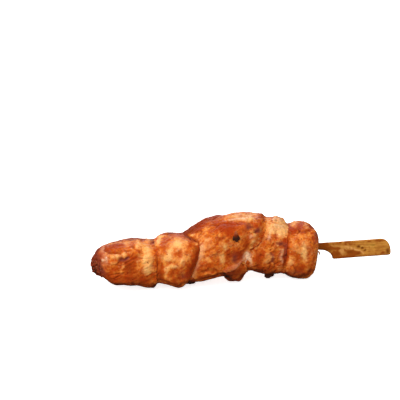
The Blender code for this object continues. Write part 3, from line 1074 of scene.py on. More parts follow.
# %% The lumps and blots of the pillow
PILLOW_LUMPS = (
    lump((-83.8, 1.0, 13.0), (3.2, 9.0, 6.0), -1.1),
)
PILLOW_SPOTS = (
    mark(RED, -86.2, -1.0, 0.8, 9.0, amount=0.4, edge=3),
    mark(RED, -82.4, 5.4, 1.8, 3.4, amount=0.4),
    mark(BARE, -76.0, 2.0, 9.0, 9.0, rise=0.5, edge=4),
    mark(RED, -83.2, 9.0, 1.8, 1.6, amount=0.2),
    mark(RED, -80.5, 8.6, 1.4, 1.4, amount=0.1),
    mark(PALE, -76.0, 3.0, 6.5, 5.5, amount=0.15, edge=4),
    mark(PALE, -75.2, 6.9, 1.5, 1.5, amount=0.9),
    mark(PALE, -73.8, 4.4, 1.3, 1.1, amount=0.5),
    mark(PALE, -71.8, 7.2, 1.5, 1.2, amount=0.3),
    mark(PALE, -80.6, -0.2, 2.1, 1.7, amount=1.2, rise=0.2),
    mark(PALE, -82.1, -1.2, 0.9, 0.9, amount=0.5),
    mark(RED, -78.5, -2.9, 1.8, 0.7, amount=0.2),
    mark(RED, -74.9, 1.6, 1.3, 1.2, amount=0.95, rise=-0.4),
    mark(CHAR, -70.3, 2.2, 0.7, 0.7, amount=0.3),
    mark(RED, -68.4, 7.0, 1.2, 2.4, amount=0.6),
    mark(CHAR, -66.2, 3.5, 1.1, 1.5, amount=0.5),
    mark(PALE, -65.3, 6.2, 0.9, 0.9, amount=0.4),
    mark(PALE, -72.4, -1.0, 1.4, 3.0, amount=0.25),
    mark(RED, -78.5, -9.3, 2.1, 1.3, amount=0.75, rise=-0.3),
    mark(RED, -74.0, -7.6, 2.0, 2.2, amount=0.2),
    mark(RED, -69.8, -7.0, 0.9, 2.6, amount=0.9),
    mark(WINE, -72.5, -11.6, 1.3, 1.5, amount=0.6),
    mark(RED, -76.0, -12.6, 4.0, 1.5, amount=0.6),
    mark(PALE, -79.2, -12.0, 0.9, 0.6, amount=0.35),
    mark(RED, -84.2, -6.8, 1.5, 3.2, amount=0.7),
    mark(PALE, -84.2, -1.0, 0.8, 3.0, amount=0.2),
    mark(CHAR, -84.6, -10.0, 1.7, 1.6, amount=0.55),
    mark(PALE, -81.9, -10.8, 0.7, 1.4, amount=0.4),
)
print("the pillow,", "lumps and blots:", len(PILLOW_LUMPS), len(PILLOW_SPOTS))

# %% The lines of the pillow, and the chunk itself
PILLOW_LINES = (
    crease(PALE, ((-85.9, 7.4), (-85.6, 9.4), (-84.6, 11.0), (-82.4, 12.2)), 0.8, amount=1.1, rise=0.4),
    crease(CHAR, ((-84.0, 12.9), (-81.0, 13.7), (-78.5, 13.9)), 0.9, amount=0.6),
    crease(WINE, ((-79.5, 13.8), (-76.0, 13.9), (-73.0, 13.8)), 1.0, amount=1.2),
    crease(CHAR, ((-73.5, 13.9), (-70.5, 13.4), (-67.0, 12.0)), 1.1, amount=0.7),
    crease(RED, ((-73.5, 13.4), (-70.5, 12.6), (-67.0, 11.4)), 1.4, amount=0.6),
    crease(RED, ((-82.0, 11.8), (-77.0, 12.0), (-71.5, 11.4)), 1.2, amount=0.5),
    crease(PALE, ((-76.0, 6.6), (-78.4, 5.6), (-79.8, 2.6), (-80.6, 0.0)), 1.1, amount=0.7),
    crease(PALE, ((-73.7, -3.2), (-73.5, -2.4), (-72.8, -2.0)), 0.6, amount=0.6, rise=0.3),
    crease(PALE, ((-81.4, -8.8), (-81.2, -6.6), (-79.5, -5.1), (-76.8, -5.4)), 0.9, amount=0.7,
           rise=0.45),
    crease(CHAR, ((-72.0, 11.4), (-69.5, 10.4), (-66.5, 8.8), (-64.4, 7.2), (-63.4, 5.6)), 0.5, amount=0.7,
           rise=-0.3),
    crease(RED, ((-64.2, 3.6), (-65.2, 0.5), (-66.3, -2.0), (-67.8, -5.5), (-69.1, -9.0),
                 (-70.4, -11.4)), 1.4, amount=1.0, rise=0.3),
    crease(CHAR, ((-64.0, 3.0), (-65.2, 0.0), (-67.2, -4.0), (-69.0, -8.6)), 0.9, amount=0.4),
    # Partly char, partly painted shade along the bottom outline.
    crease(CHAR, ((-86.0, -12.2), (-83.0, -12.8), (-80.0, -14.2), (-77.0, -15.5), (-74.6, -16.4),
                  (-72.6, -15.4), (-71.0, -15.0)), 0.9, amount=0.75),
)

make_chunk("pillow_chunk", "chicken_2_pillow", (0.1, 0.0, 1.0), -12.0,
           PILLOW_LUMPS, PILLOW_SPOTS, PILLOW_LINES)

# %% [markdown]
# ### The large chunk
# The biggest piece is boxy, with fibres that rise to the right. A ridge runs along its wet top, between
# two sinking lines that make it stand out, and its pale and grey streaks are a painted sheen. Its upper
# left is darkened red-brown, partly sauce and partly painted shade. A lobe hangs under it: three hollows
# and a lump shape the lobe's outline, so that it stays part of the same skin, and a dark line of painted
# shade runs along its top. At the chunk's lower right the meat is torn, and white sinew shows. Along the
# bottom the skin is darkened, partly char and partly painted shade.

# %% The lumps and blots of the large chunk
LARGE_LUMPS = (
    lump((-28.5, 3.0, 17.0), (2.4, 9.0, 7.0), 1.0),
    lump((-50.4, -4.0, -13.0), (1.9, 6.0, 4.0), -2.6),
    lump((-48.0, -4.0, -13.0), (1.5, 6.0, 4.0), -0.9),
    lump((-43.4, -4.0, -13.0), (2.2, 6.0, 4.0), -2.2),
    lump((-39.4, -4.0, -11.0), (1.4, 6.0, 4.0), 2.8),
)
LARGE_SPOTS = (
    mark(WET, -42.5, 18.4, 8.0, 2.4, amount=1.0, edge=3),
    # Painted sheen: pale along the wet top.
    mark(PALE, -42.0, 19.8, 6.5, 1.6, amount=0.4, edge=3),
    mark(PALE, -36.5, 19.0, 1.7, 1.3, amount=0.6),
    mark(RED, -41.2, 20.0, 1.4, 1.0, amount=0.3),
    mark(RED, -31.2, 19.2, 1.6, 2.0, amount=0.6),
    mark(CHAR, -29.3, 21.0, 1.2, 0.9, amount=0.6),
    mark(RED, -46.6, 16.6, 1.6, 0.8, amount=0.5),
    mark(RED, -41.5, 16.2, 2.4, 0.8, amount=0.45),
    mark(PALE, -42.8, 14.4, 2.2, 0.6, amount=0.5),
    mark(WINE, -37.4, 14.0, 1.5, 1.6, amount=1.3, rise=-0.3),
    mark(WINE, -33.0, 11.4, 1.6, 1.3, amount=1.3, rise=-0.3),
    mark(CHAR, -33.0, 11.4, 0.9, 0.8, amount=0.25),
    mark(RED, -33.3, 14.2, 1.8, 1.4, amount=0.6),
    mark(CHAR, -39.6, 11.7, 1.5, 1.1, amount=0.35),
    mark(RED, -40.5, 8.0, 2.6, 2.2, amount=0.3),
    mark(GREY, -36.5, 8.4, 0.8, 1.2, amount=0.5),
    mark(CHAR, -34.6, 6.8, 0.7, 0.8, amount=0.35),
    mark(RED, -38.7, 3.8, 1.8, 2.4, amount=0.9, rise=-0.2),
    mark(CHAR, -38.7, 3.8, 1.4, 1.9, amount=0.2),
    mark(CHAR, -30.8, 3.2, 0.7, 0.5, amount=0.3),
    mark(RED, -30.2, 5.5, 1.2, 4.5, amount=0.45, edge=3),
    mark(WINE, -45.2, -3.9, 1.5, 2.4, amount=0.9, rise=-0.4),
    # Partly sauce, partly painted shade over the upper left and the top.
    mark(RED, -45.0, 14.6, 8.5, 2.2, amount=0.65, edge=3),
    mark(RED, -51.0, 12.4, 6.5, 2.6, amount=0.45, edge=3),
    mark(RED, -57.0, 2.0, 6.0, 6.0, amount=0.13, edge=3),
    mark(RED, -43.4, -1.8, 3.0, 3.2, amount=1.1, edge=3),
    mark(CHAR, -42.4, -1.2, 1.4, 1.4, amount=0.35),
    mark(CHAR, -45.0, -3.9, 1.0, 1.7, amount=0.3),
    mark(RED, -48.5, -1.0, 1.3, 2.6, amount=0.7),
    mark(PALE, -50.0, 3.0, 1.1, 1.2, amount=0.8),
    mark(PALE, -51.6, 5.0, 1.2, 1.5, amount=0.3),
    mark(PALE, -51.8, -3.3, 1.0, 2.4, amount=0.7),
    mark(PALE, -53.4, -1.3, 1.6, 1.2, amount=0.3),
    mark(PALE, -58.0, 3.0, 2.6, 2.6, amount=0.12),
    mark(PALE, -59.5, 8.4, 1.6, 1.0, amount=0.65, rise=0.2),
    mark(PALE, -53.5, 10.5, 0.7, 1.3, tilt=25, amount=0.5, rise=0.2),
    mark(PALE, -61.0, 13.3, 1.5, 1.5, amount=0.35),
    mark(PALE, -66.5, 11.2, 2.0, 0.8, amount=0.6, rise=0.2),
    # Partly sauce and char, partly painted shade over the upper left.
    mark(CHAR, -68.5, 13.6, 4.0, 2.4, amount=0.4),
    mark(RED, -64.0, 14.8, 2.4, 2.6, amount=0.9),
    mark(RED, -55.0, 17.2, 6.0, 1.2, amount=0.5),
    mark(RED, -52.0, 15.0, 2.2, 1.2, amount=0.45),
    mark(RED, -48.4, 12.8, 1.8, 3.0, amount=0.6),
    mark(RED, -47.0, 9.4, 1.4, 1.6, amount=0.4),
    mark(PALE, -59.0, -3.6, 2.2, 0.8, amount=0.3, rise=0.2),
    mark(RED, -58.0, -6.4, 4.5, 1.8, amount=0.5),
    mark(RED, -62.0, -9.8, 3.4, 1.6, amount=0.5),
    mark(CHAR, -45.6, -12.4, 5.4, 3.0, amount=0.5, edge=4),
    mark(WINE, -48.0, -11.6, 2.4, 2.0, amount=0.5),
    mark(RED, -44.0, -10.5, 4.4, 2.6, amount=0.7),
    mark(RED, -37.6, -6.9, 0.9, 1.3, amount=0.6),
    mark(GREY, -38.9, -2.4, 1.7, 2.2, tilt=-25, amount=0.6, edge=3),
    mark(GREY, -47.0, -9.3, 2.4, 1.0, tilt=15, amount=0.2, rise=0.2),
)
print("the large chunk,", "lumps and blots:", len(LARGE_LUMPS), len(LARGE_SPOTS))

# %% The lines of the large chunk, and the chunk itself
LARGE_LINES = (
    # Partly sauce and char, partly painted shade along the upper left edge.
    crease(CHAR, ((-71.0, 13.6), (-66.0, 17.4), (-60.0, 20.2), (-54.0, 21.6)), 1.6, amount=0.35),
    crease(RED, ((-71.0, 13.6), (-66.0, 17.4), (-60.0, 20.2), (-54.0, 21.6)), 1.8, amount=0.9),
    # Painted sheen: pale and grey lines along the ridge of the top.
    crease(PALE, ((-49.0, 17.7), (-43.0, 18.1), (-39.0, 18.2), (-36.2, 17.8)), 0.6, amount=0.8, rise=0.9),
    crease(GREY, ((-48.0, 17.9), (-43.0, 18.2), (-38.0, 18.1)), 0.5, amount=0.6),
    crease(GREY, ((-46.0, 20.6), (-42.0, 20.9), (-37.0, 20.4)), 0.5, amount=0.4),
    crease(BARE, ((-50.0, 19.3), (-44.0, 19.8), (-35.0, 19.4)), 0.9, rise=-0.6),
    crease(BARE, ((-49.0, 16.2), (-43.0, 16.5), (-36.0, 16.2)), 0.9, rise=-0.4),
    crease(CHAR, ((-29.9, 21.0), (-29.8, 18.0), (-30.0, 15.4)), 0.5, amount=0.5, rise=-0.3),
    crease(GREY, ((-62.4, 4.6), (-63.0, 0.5), (-64.6, -3.8), (-66.3, -7.6), (-67.6, -11.0)), 1.2,
           amount=0.28, rise=0.25),
    crease(PALE, ((-62.6, 4.6), (-63.4, 0.0)), 1.2, amount=0.4),
    crease(PALE, ((-34.2, 9.2), (-35.4, 5.0), (-36.6, 1.6)), 0.8, amount=0.5, rise=0.2),
    crease(CHAR, ((-36.0, 0.4), (-34.6, 1.4), (-32.6, 1.8), (-30.6, 1.8)), 0.7, amount=0.5, rise=-0.6),
    crease(GREY, ((-40.0, -4.2), (-42.0, -5.8), (-44.4, -7.8)), 0.9, amount=0.3),
    crease(CHAR, ((-62.0, -9.5), (-58.0, -9.4), (-54.8, -9.6)), 0.7, amount=0.5, rise=-0.5),
    crease(PALE, ((-61.0, -11.0), (-55.0, -10.8)), 0.6, amount=0.25, rise=0.3),
    # Partly char, partly painted shade along the bottom outline.
    crease(CHAR, ((-70.0, -14.8), (-68.0, -14.4), (-63.0, -13.4), (-58.0, -12.9), (-54.0, -11.7),
                  (-50.6, -11.4)), 1.0, amount=0.85),
    # Painted shade along the top of the lobe, below the flap; the line also sinks a little.
    crease(CHAR, ((-51.0, -11.0), (-48.5, -11.2), (-45.6, -10.4)), 0.5, amount=0.3, rise=-0.2),
    # Partly char, partly painted shade along the lobe's bottom outline.
    crease(CHAR, ((-49.4, -13.5), (-47.6, -14.8), (-45.0, -15.8), (-42.4, -15.4), (-40.6, -13.0)), 0.8,
           amount=0.7),
)

make_chunk("large_chunk", "chicken_3_large", (1.0, 0.0, 0.4), -9.0,
           LARGE_LUMPS, LARGE_SPOTS, LARGE_LINES)

# %% [markdown]
# ### The small chunk
# Its top is pale, partly pale meat and partly a painted sheen, and a few grey threads cross it, whose grey
# is a painted glint along their ridges. Those are lines that rise a little, since paint alone would lie
# flat. Below, the chunk is pitted and red, and a pale streak runs down beside the seam. Along the bottom
# the skin is darkened, partly char and partly painted shade.

# %% The lumps and blots of the small chunk
SMALL_LUMPS = (
    lump((-16.8, 3.0, 14.0), (2.4, 9.0, 6.0), 2.4),
    lump((-27.0, 2.0, 16.0), (2.0, 9.0, 6.0), 2.0),
    lump((-31.0, -3.0, -10.0), (4.5, 8.0, 4.0), -0.5),
    lump((-39.5, -3.0, -9.0), (2.0, 8.0, 4.0), 1.0),
)
SMALL_SPOTS = (
    mark(WET, -21.5, 13.5, 4.5, 5.0, amount=0.5, edge=3),
    mark(GREY, -37.6, -3.0, 1.4, 1.8, amount=0.7, edge=3),
    mark(GREY, -36.0, -6.4, 0.6, 1.3, amount=0.5),
    mark(RED, -37.8, -6.3, 0.9, 0.9, amount=0.8, rise=0.4),
    # Partly pale meat, partly a painted sheen on the top.
    mark(PALE, -21.8, 12.2, 4.6, 4.6, amount=1.05, edge=3),
    mark(PALE, -19.4, 9.0, 1.6, 2.0, amount=0.6),
    mark(GREY, -21.8, 12.4, 4.0, 4.4, amount=0.15, edge=3),
    mark(PALE, -28.4, 13.4, 1.4, 3.2, amount=0.3),
    mark(RED, -24.6, 14.0, 0.9, 0.9, amount=0.2),
    mark(PALE, -26.2, 10.2, 1.0, 1.6, amount=0.45),
    mark(GREY, -26.5, 7.2, 0.9, 1.1, amount=0.7),
    # Painted glint on a raised bump.
    mark(GREY, -23.4, 18.8, 1.4, 0.7, amount=0.6, rise=0.4),
    mark(RED, -20.6, 17.2, 2.0, 0.7, amount=0.3),
    mark(RED, -24.1, 8.0, 1.5, 1.9, amount=0.8, rise=-0.2),
    mark(CHAR, -24.3, 8.4, 0.8, 0.7, amount=0.3),
    mark(RED, -21.8, 7.6, 1.6, 1.0, amount=0.4),
    mark(PALE, -25.2, 4.3, 1.2, 0.8, amount=0.3),
    mark(RED, -28.0, 3.8, 2.4, 2.0, amount=0.35),
    mark(WINE, -20.2, 3.0, 1.5, 1.1, amount=1.2, rise=-0.4),
    mark(CHAR, -20.2, 3.0, 0.9, 0.7, amount=0.4),
    mark(PALE, -22.0, 2.3, 0.5, 0.6, amount=0.9, rise=0.2),
    mark(CHAR, -22.4, 1.1, 0.7, 0.4, amount=0.35),
    mark(RED, -17.2, 4.4, 1.2, 1.4, amount=0.8),
    mark(PALE, -18.0, 6.6, 1.4, 0.9, amount=0.35),
    mark(PALE, -35.2, -2.6, 0.8, 1.3, amount=0.55),
    mark(RED, -32.0, -4.0, 2.4, 3.8, amount=0.9, rise=0.3, edge=3),
    mark(PALE, -26.6, -2.8, 1.4, 1.3, amount=0.45),
    mark(PALE, -27.6, -6.0, 1.9, 1.5, amount=0.55),
    mark(CHAR, -23.4, -1.5, 0.9, 0.7, amount=0.5, rise=-0.2),
    mark(RED, -21.6, -7.4, 1.2, 1.6, amount=0.3),
    mark(CHAR, -18.3, -9.6, 0.8, 1.4, amount=0.35),
    mark(RED, -28.0, -10.2, 6.5, 1.6, amount=0.65),
    mark(CHAR, -29.0, -10.8, 5.0, 1.3, amount=0.3, edge=3),
)
print("the small chunk,", "lumps and blots:", len(SMALL_LUMPS), len(SMALL_SPOTS))

# %% The lines of the small chunk, and the chunk itself
SMALL_LINES = (
    crease(RED, ((-25.2, 15.8), (-22.5, 14.4), (-19.6, 14.0)), 0.4, amount=0.5, rise=-0.3),
    crease(RED, ((-24.8, 12.6), (-22.2, 11.4), (-19.4, 11.4)), 0.35, amount=0.45, rise=-0.3),
    # Painted glints: grey on threads that rise across the top.
    crease(GREY, ((-24.8, 17.0), (-22.6, 17.2), (-20.6, 16.2)), 0.5, amount=0.5, rise=0.35),
    crease(GREY, ((-23.6, 13.4), (-21.4, 12.8), (-20.0, 12.7)), 0.4, amount=0.4, rise=0.3),
    crease(GREY, ((-26.0, 12.0), (-25.8, 9.6)), 0.4, amount=0.5, rise=0.3),
    crease(WINE, ((-24.9, -2.6), (-24.7, -4.6), (-24.3, -7.0)), 0.7, amount=0.9, rise=-0.3),
    crease(GREY, ((-19.5, -0.8), (-19.8, -4.0), (-19.6, -7.2)), 0.7, amount=0.55, rise=0.35),
    crease(WINE, ((-17.4, 1.6), (-17.2, -1.0), (-17.4, -4.6)), 1.0, amount=0.7),
    crease(RED, ((-16.6, 5.0), (-16.6, 0.0), (-17.2, -7.0)), 1.7, amount=0.8),
    crease(PALE, ((-24.4, -8.2), (-22.6, -9.8), (-20.4, -10.0)), 0.7, amount=0.45),
    # Partly char, partly painted shade along the bottom outline.
    crease(CHAR, ((-38.0, -9.9), (-34.0, -10.7), (-30.5, -12.0), (-27.0, -12.8), (-22.0, -12.9),
                  (-18.0, -13.9)), 0.8, amount=0.6),
)

make_chunk("small_chunk", "chicken_4_small", (0.3, 0.0, 1.0), -8.0,
           SMALL_LUMPS, SMALL_SPOTS, SMALL_LINES)

# %% [markdown]
# ### The chunk at the handle
# The last chunk is a rounded block that ends in a flat face, out of which the stick comes. The imported
# solid already has that shape, so it needs few lines: its upper edge is dark red, and its cheek is pale.
# Two pale dabs on its top are painted highlights, and its bottom outline is darkened, partly char and
# partly painted shade.

# %% The lumps and blots of the chunk at the handle
HANDLE_END_LUMPS = (
    lump((-13.5, 3.0, 13.0), (2.5, 8.0, 6.0), 0.8),
    lump((-2.6, -2.0, -11.0), (1.4, 7.0, 4.0), -1.6),
)
HANDLE_END_SPOTS = (
    mark(RED, -16.6, 0.0, 0.9, 7.0, amount=0.7, edge=3),
    # Painted highlight on the top left.
    mark(PALE, -13.6, 13.4, 1.2, 1.1, amount=0.8),
    mark(PALE, -11.4, 15.0, 2.0, 0.6, amount=0.45),
    mark(RED, -9.4, 13.2, 1.4, 1.4, amount=0.75),
    # Painted highlight on the top.
    mark(PALE, -7.5, 12.9, 0.9, 1.3, tilt=-20, amount=0.55),
    mark(PALE, -12.4, 11.4, 0.7, 0.6, amount=0.6, rise=0.2),
    mark(PALE, -8.8, 10.4, 0.8, 0.5, amount=0.5, rise=0.2),
    mark(PALE, -6.2, 11.0, 0.6, 0.6, amount=0.5),
    mark(RED, -10.5, 11.2, 5.0, 1.8, amount=0.6),
    mark(RED, -15.8, 11.6, 1.2, 1.2, amount=0.7),
    mark(CHAR, -15.6, 8.7, 1.0, 1.4, amount=0.45),
    mark(RED, -13.6, 9.2, 1.9, 2.0, amount=0.85),
    mark(WINE, -4.2, 11.3, 1.8, 0.9, tilt=-30, amount=1.0),
    mark(PALE, -3.4, 9.2, 1.2, 0.8, amount=0.3),
    mark(PALE, -10.8, 6.4, 1.8, 1.0, amount=0.2),
    mark(PALE, -6.5, 6.4, 2.0, 1.6, amount=0.1),
    mark(PALE, -7.6, -2.0, 1.9, 3.6, amount=0.9, edge=3),
    mark(PALE, -7.0, -5.4, 1.6, 2.2, amount=0.3),
    mark(CHAR, -6.2, 0.9, 0.5, 0.4, amount=0.35),
    mark(RED, -12.0, -4.5, 2.4, 2.6, amount=0.2),
    mark(PALE, -15.3, -6.6, 1.2, 2.0, amount=0.75, rise=0.2),
    mark(PALE, -14.4, -9.2, 1.0, 1.2, amount=0.4),
    mark(RED, -17.3, -6.0, 0.9, 3.0, amount=0.5),
    mark(RED, -8.6, -11.4, 5.0, 2.0, amount=0.65),
    mark(CHAR, -10.9, -10.2, 1.1, 0.9, amount=0.25),
    mark(WINE, -13.0, -14.4, 4.0, 1.2, amount=0.6),
    mark(CHAR, -8.5, -14.0, 5.5, 1.2, amount=0.15),
    mark(RED, -2.6, 3.6, 1.3, 4.4, amount=0.3),
    mark(RED, -2.4, -4.0, 1.2, 4.5, amount=0.2),
)
print("the chunk at the handle,", "lumps and blots:", len(HANDLE_END_LUMPS), len(HANDLE_END_SPOTS))

# %% The lines of the chunk at the handle, and the chunk itself
HANDLE_END_LINES = (
    crease(CHAR, ((-10.2, 9.2), (-7.2, 9.0), (-4.6, 9.4)), 0.6, amount=0.4, rise=-0.2),
    crease(WINE, ((-1.2, 7.6), (-0.9, 5.4), (-1.0, 3.0)), 0.9, amount=0.9),
    crease(PALE, ((-7.4, -5.6), (-7.1, -8.6)), 0.6, amount=0.3),
    # Partly char, partly painted shade along the bottom outline.
    crease(CHAR, ((-18.0, -13.8), (-15.0, -15.6), (-12.0, -16.3), (-9.0, -16.0), (-5.4, -15.6),
                  (-3.4, -13.4)), 0.9, amount=0.8),
)

make_chunk("handle_end_chunk", "chicken_5_handle_end", (-0.2, 0.0, 1.0), -11.0,
           HANDLE_END_LUMPS, HANDLE_END_SPOTS, HANDLE_END_LINES)

# %% [markdown]
# ## The bamboo stick
# The stick is split from a bamboo cane, so its grain runs along it from end to end. The handle is wide and
# flat, and marinade has run down on to it from the meat: it is dark brown at the neck, and its flat face
# is stained in streaks and dots. One pale streak on it is a painted highlight. Wood textures would give an
# even board, so the same marks are used as on the meat, over a noise that is stretched along the stick.

# %% The stains on the stick
STICK_SPOTS = (
    mark(RED, 1.5, 0.0, 4.0, 3.0, amount=0.9, edge=4),
    mark(RED, 10.0, -5.2, 2.0, 2.0, amount=0.8, edge=4),
    mark(CHAR, 10.7, -5.0, 0.9, 0.7, amount=0.5),
    mark(PALE, 13.2, -4.2, 1.2, 1.6, amount=0.55, edge=3),
    # Painted highlight on the handle's flat face.
    mark(PALE, 17.2, -1.9, 2.7, 0.6, tilt=-20, amount=0.75, edge=3),
    mark(RED, 19.8, -5.2, 3.9, 1.2, tilt=-5, amount=1.1, edge=5),
    mark(RED, 17.4, -6.9, 2.4, 0.8, amount=0.9),
    mark(CHAR, 17.6, -4.5, 1.4, 0.5, amount=0.5),
    mark(CHAR, 22.4, -5.8, 0.9, 0.5, amount=0.5),
    mark(CHAR, 22.3, -1.6, 0.9, 0.65, amount=1.2, edge=3),
    mark(CHAR, 24.4, -2.6, 0.8, 0.6, amount=1.2, edge=3),
    mark(CHAR, 26.0, -4.1, 0.7, 0.55, amount=1.2, edge=3),
    mark(RED, 28.2, -4.7, 0.6, 0.4, amount=0.7),
    mark(RED, 28.2, 0.8, 0.7, 0.5, amount=0.9, edge=3),
    mark(RED, 33.6, 0.7, 2.0, 0.6, amount=0.7),
    mark(CHAR, 34.2, 0.7, 0.6, 0.4, amount=0.6),
    mark(RED, 15.3, -0.1, 0.7, 0.4, amount=0.8),
    mark(RED, 18.0, -0.1, 0.8, 0.4, amount=0.7),
    mark(GREY, 30.4, -1.4, 0.9, 0.5, amount=0.8),
    mark(RED, 36.2, -6.3, 1.0, 0.6, amount=0.8),
    mark(CHAR, 38.8, -5.4, 0.9, 1.6, amount=1.0),
    mark(RED, 35.9, -5.6, 0.5, 0.4, amount=0.7),
)
STICK_LINES = (
    crease(CHAR, ((-1.0, -1.3), (3.0, -1.3), (6.5, -2.2)), 0.5, amount=0.4),
    crease(PALE, ((7.4, -0.1), (10.5, -0.7), (13.8, -1.3)), 0.3, amount=0.4),
    crease(RED, ((4.8, -1.2), (8.0, -1.6), (11.6, -2.1)), 0.6, amount=0.9),
    crease(PALE, ((11.8, -2.9), (15.6, -2.6)), 0.35, amount=0.5),
    crease(RED, ((14.6, -3.4), (17.0, -3.5), (19.4, -3.6)), 0.35, amount=0.7),
    crease(PALE, ((19.8, -3.0), (22.8, -3.9), (25.4, -5.7)), 0.35, amount=0.6),
    crease(RED, ((8.5, -6.4), (12.0, -7.0), (24.0, -7.3), (38.0, -7.6)), 0.45, amount=0.5),
    crease(GREY, ((27.0, -1.1), (31.0, -1.4)), 0.35, amount=0.6),
    crease(GREY, ((29.8, -2.9), (38.0, -3.4)), 0.3, amount=0.5),
    crease(RED, ((8.0, 1.0), (20.0, 0.9), (39.0, 0.9)), 0.35, amount=0.35),
)
print(len(STICK_SPOTS), "stains and", len(STICK_LINES), "streaks on the handle")

# %% Lift the grain and run the sauce down
OUT_OF_MEAT = (-1.0, 1.0)
FULLER = 0.12
GRAIN_RISE = 0.05
RIPPLE_RISE = 0.06
UNDERSIDE_RISE = 0.3


def carve_grain(piece, places, normals, grain, ripple):
    """Lifts the wood by its grain where it shows; its underside is a little fuller."""
    outside = smooth_step(*OUT_OF_MEAT, places[:, 0])
    relief = FULLER + outside * (GRAIN_RISE * grain + RIPPLE_RISE * ripple)
    relief += UNDERSIDE_RISE * outside * smooth_step(0.3, 0.9, -normals[:, 2])
    write_points(piece.data, places + normals * relief[:, None])


def stain_wood(paints, places, hidden, ripple, blot):
    """Adds the sauce that ran down from the meat, and blotches wherever no mark was laid."""
    at_neck = 1.0 - smooth_step(2.0, 14.0, places[:, 0] + 3.0 * ripple)
    run_down = 1.0 - smooth_step(6.0, 28.0, places[:, 0])
    paints[RED] += hidden * (0.8 * at_neck + 0.4 * smooth_step(0.2, 0.6, ripple))
    paints[RED] += 0.40 * run_down * (1.0 + 0.8 * blot)
    paints[RED] += 0.25 * smooth_step(0.15, 0.5, blot) + 0.25 * smooth_step(0.1, 0.4, ripple)


print("the wood's grain lifts its skin by", GRAIN_RISE, "mm")

# %% Carve and stain the stick
STICK_VOXEL = 0.26 * MM
ALONG_STICK = (1.0, 0.0, 0.0)
GRAIN_SIZE = 0.55
RIPPLE_SIZE = 1.8
BLOT_SIZE = 1.1


def carve_stick():
    piece = add_piece("stained_bamboo_stick", merged_copy("bamboo_skewer"))
    remesh(piece, STICK_VOXEL, smooth_steps=2)
    places, normals = read_points(piece.data)
    grain = rough(fibre_places(places, ALONG_STICK, stretch=14.0), GRAIN_SIZE, (4.4, 1.9, 7.3))
    ripple = rough(fibre_places(places, ALONG_STICK, stretch=6.0), RIPPLE_SIZE, (2.4, 6.9, 1.3))
    blot = rough(places, BLOT_SIZE, (6.1, 2.9, 8.4))
    flat = front_places(places) + 0.12 * np.stack((ripple, grain), axis=1)
    flat += 0.25 * np.stack((blot, -blot), axis=1)
    seen = facing(places, normals)
    carve_grain(piece, places, normals, grain, ripple)
    paints, _, _ = lay_marks(flat, seen, STICK_SPOTS, STICK_LINES)
    stain_wood(paints, places, 1.0 - seen, ripple, blot)
    for name in (PALE, RED, CHAR, GREY):
        write_attribute(piece.data, name, paints[name] * (1.0 + 0.35 * grain))
    return piece


stick = carve_stick()
print(stick.name, len(stick.data.vertices), "vertices")

# %% Make the wood's material and hand the stick over
WOOD_DARK = (0.360, 0.125, 0.016, 1.0)
WOOD = (0.520, 0.220, 0.032, 1.0)
WOOD_LIGHT = (0.600, 0.300, 0.060, 1.0)
WOOD_CREAM = (0.800, 0.400, 0.120, 1.0)
STAIN = (0.250, 0.052, 0.003, 1.0)
SOOT = (0.150, 0.036, 0.001, 1.0)
OLIVE = (0.320, 0.150, 0.018, 1.0)


def make_bamboo_material():
    material, tree, shader = new_material("stained_bamboo")
    place = new_node(tree, "ShaderNodeTexCoord").outputs["Object"]
    squeeze = new_node(tree, "ShaderNodeMapping")
    squeeze.inputs["Scale"].default_value = (0.05, 1.0, 1.0)
    tree.links.new(place, squeeze.inputs["Vector"])
    fibre = noise_node(tree, squeeze.outputs["Vector"], scale=2600.0, detail=3.0)
    cloud = noise_node(tree, place, scale=500.0, detail=3.0)
    base = ramp_node(tree, fibre, ((0.35, WOOD_DARK), (0.52, WOOD), (0.68, WOOD_LIGHT)))
    patchy = ramp_node(tree, cloud, (grey_stop(0.42, 0.0), grey_stop(0.66, 0.55)))
    base = mix_node(tree, patchy, base, WOOD_DARK)
    for paint, colour in ((GREY, OLIVE), (PALE, WOOD_CREAM), (RED, STAIN), (CHAR, SOOT)):
        base = mix_node(tree, paint_socket(tree, paint), base, colour)
    tree.links.new(base, shader.inputs["Base Color"])
    shader.inputs["Roughness"].default_value = 0.55
    shader.inputs["Specular IOR Level"].default_value = 0.06
    grain = bump_node(tree, fibre, strength=0.4, distance=0.1 * MM)
    tree.links.new(grain, shader.inputs["Normal"])
    return material


stick.data.materials.clear()
stick.data.materials.append(make_bamboo_material())
stick.data.shade_smooth()
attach(stick, "root")
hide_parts("bamboo_skewer")
print("the stick's material:", stick.data.materials[0].name)

# %% [markdown]
# ## Small things on the meat
# A flake of burnt pepper sticks to the large chunk, white sinew and a flap of skin lie where it
# meets the small one, burnt juice hangs below, a shred hangs at the neck, and crumbs and grains of
# spice lie on the skin. Painted on, they would cast no shadow, so each kind is one piece of real
# mesh. A place on the skin is found by looking along the line of sight, as before.

# %% Find a place on the skin
all_skin = bmesh.new()
for chunk in chunks:
    all_skin.from_mesh(chunk.data)
SKIN_TREE = tree_of_shape(all_skin)


def on_skin(x, z):
    """Where someone in front sees a place on the upright plane: the point and its normal."""
    looks = (NECK + Vector((x, 0.0, z)) * MM - EYE).normalized()
    found, normal, _, _ = SKIN_TREE.ray_cast(EYE, looks)
    if found is None:
        return None, None
    return (np.array(found) - NECK_ARRAY) / MM, np.array(normal)


print("the middle of the large chunk's skin, in mm:", on_skin(-52.0, 4.0)[0].round(1))

# %% Shape a lump
def unit(vector):
    return vector / np.linalg.norm(vector)


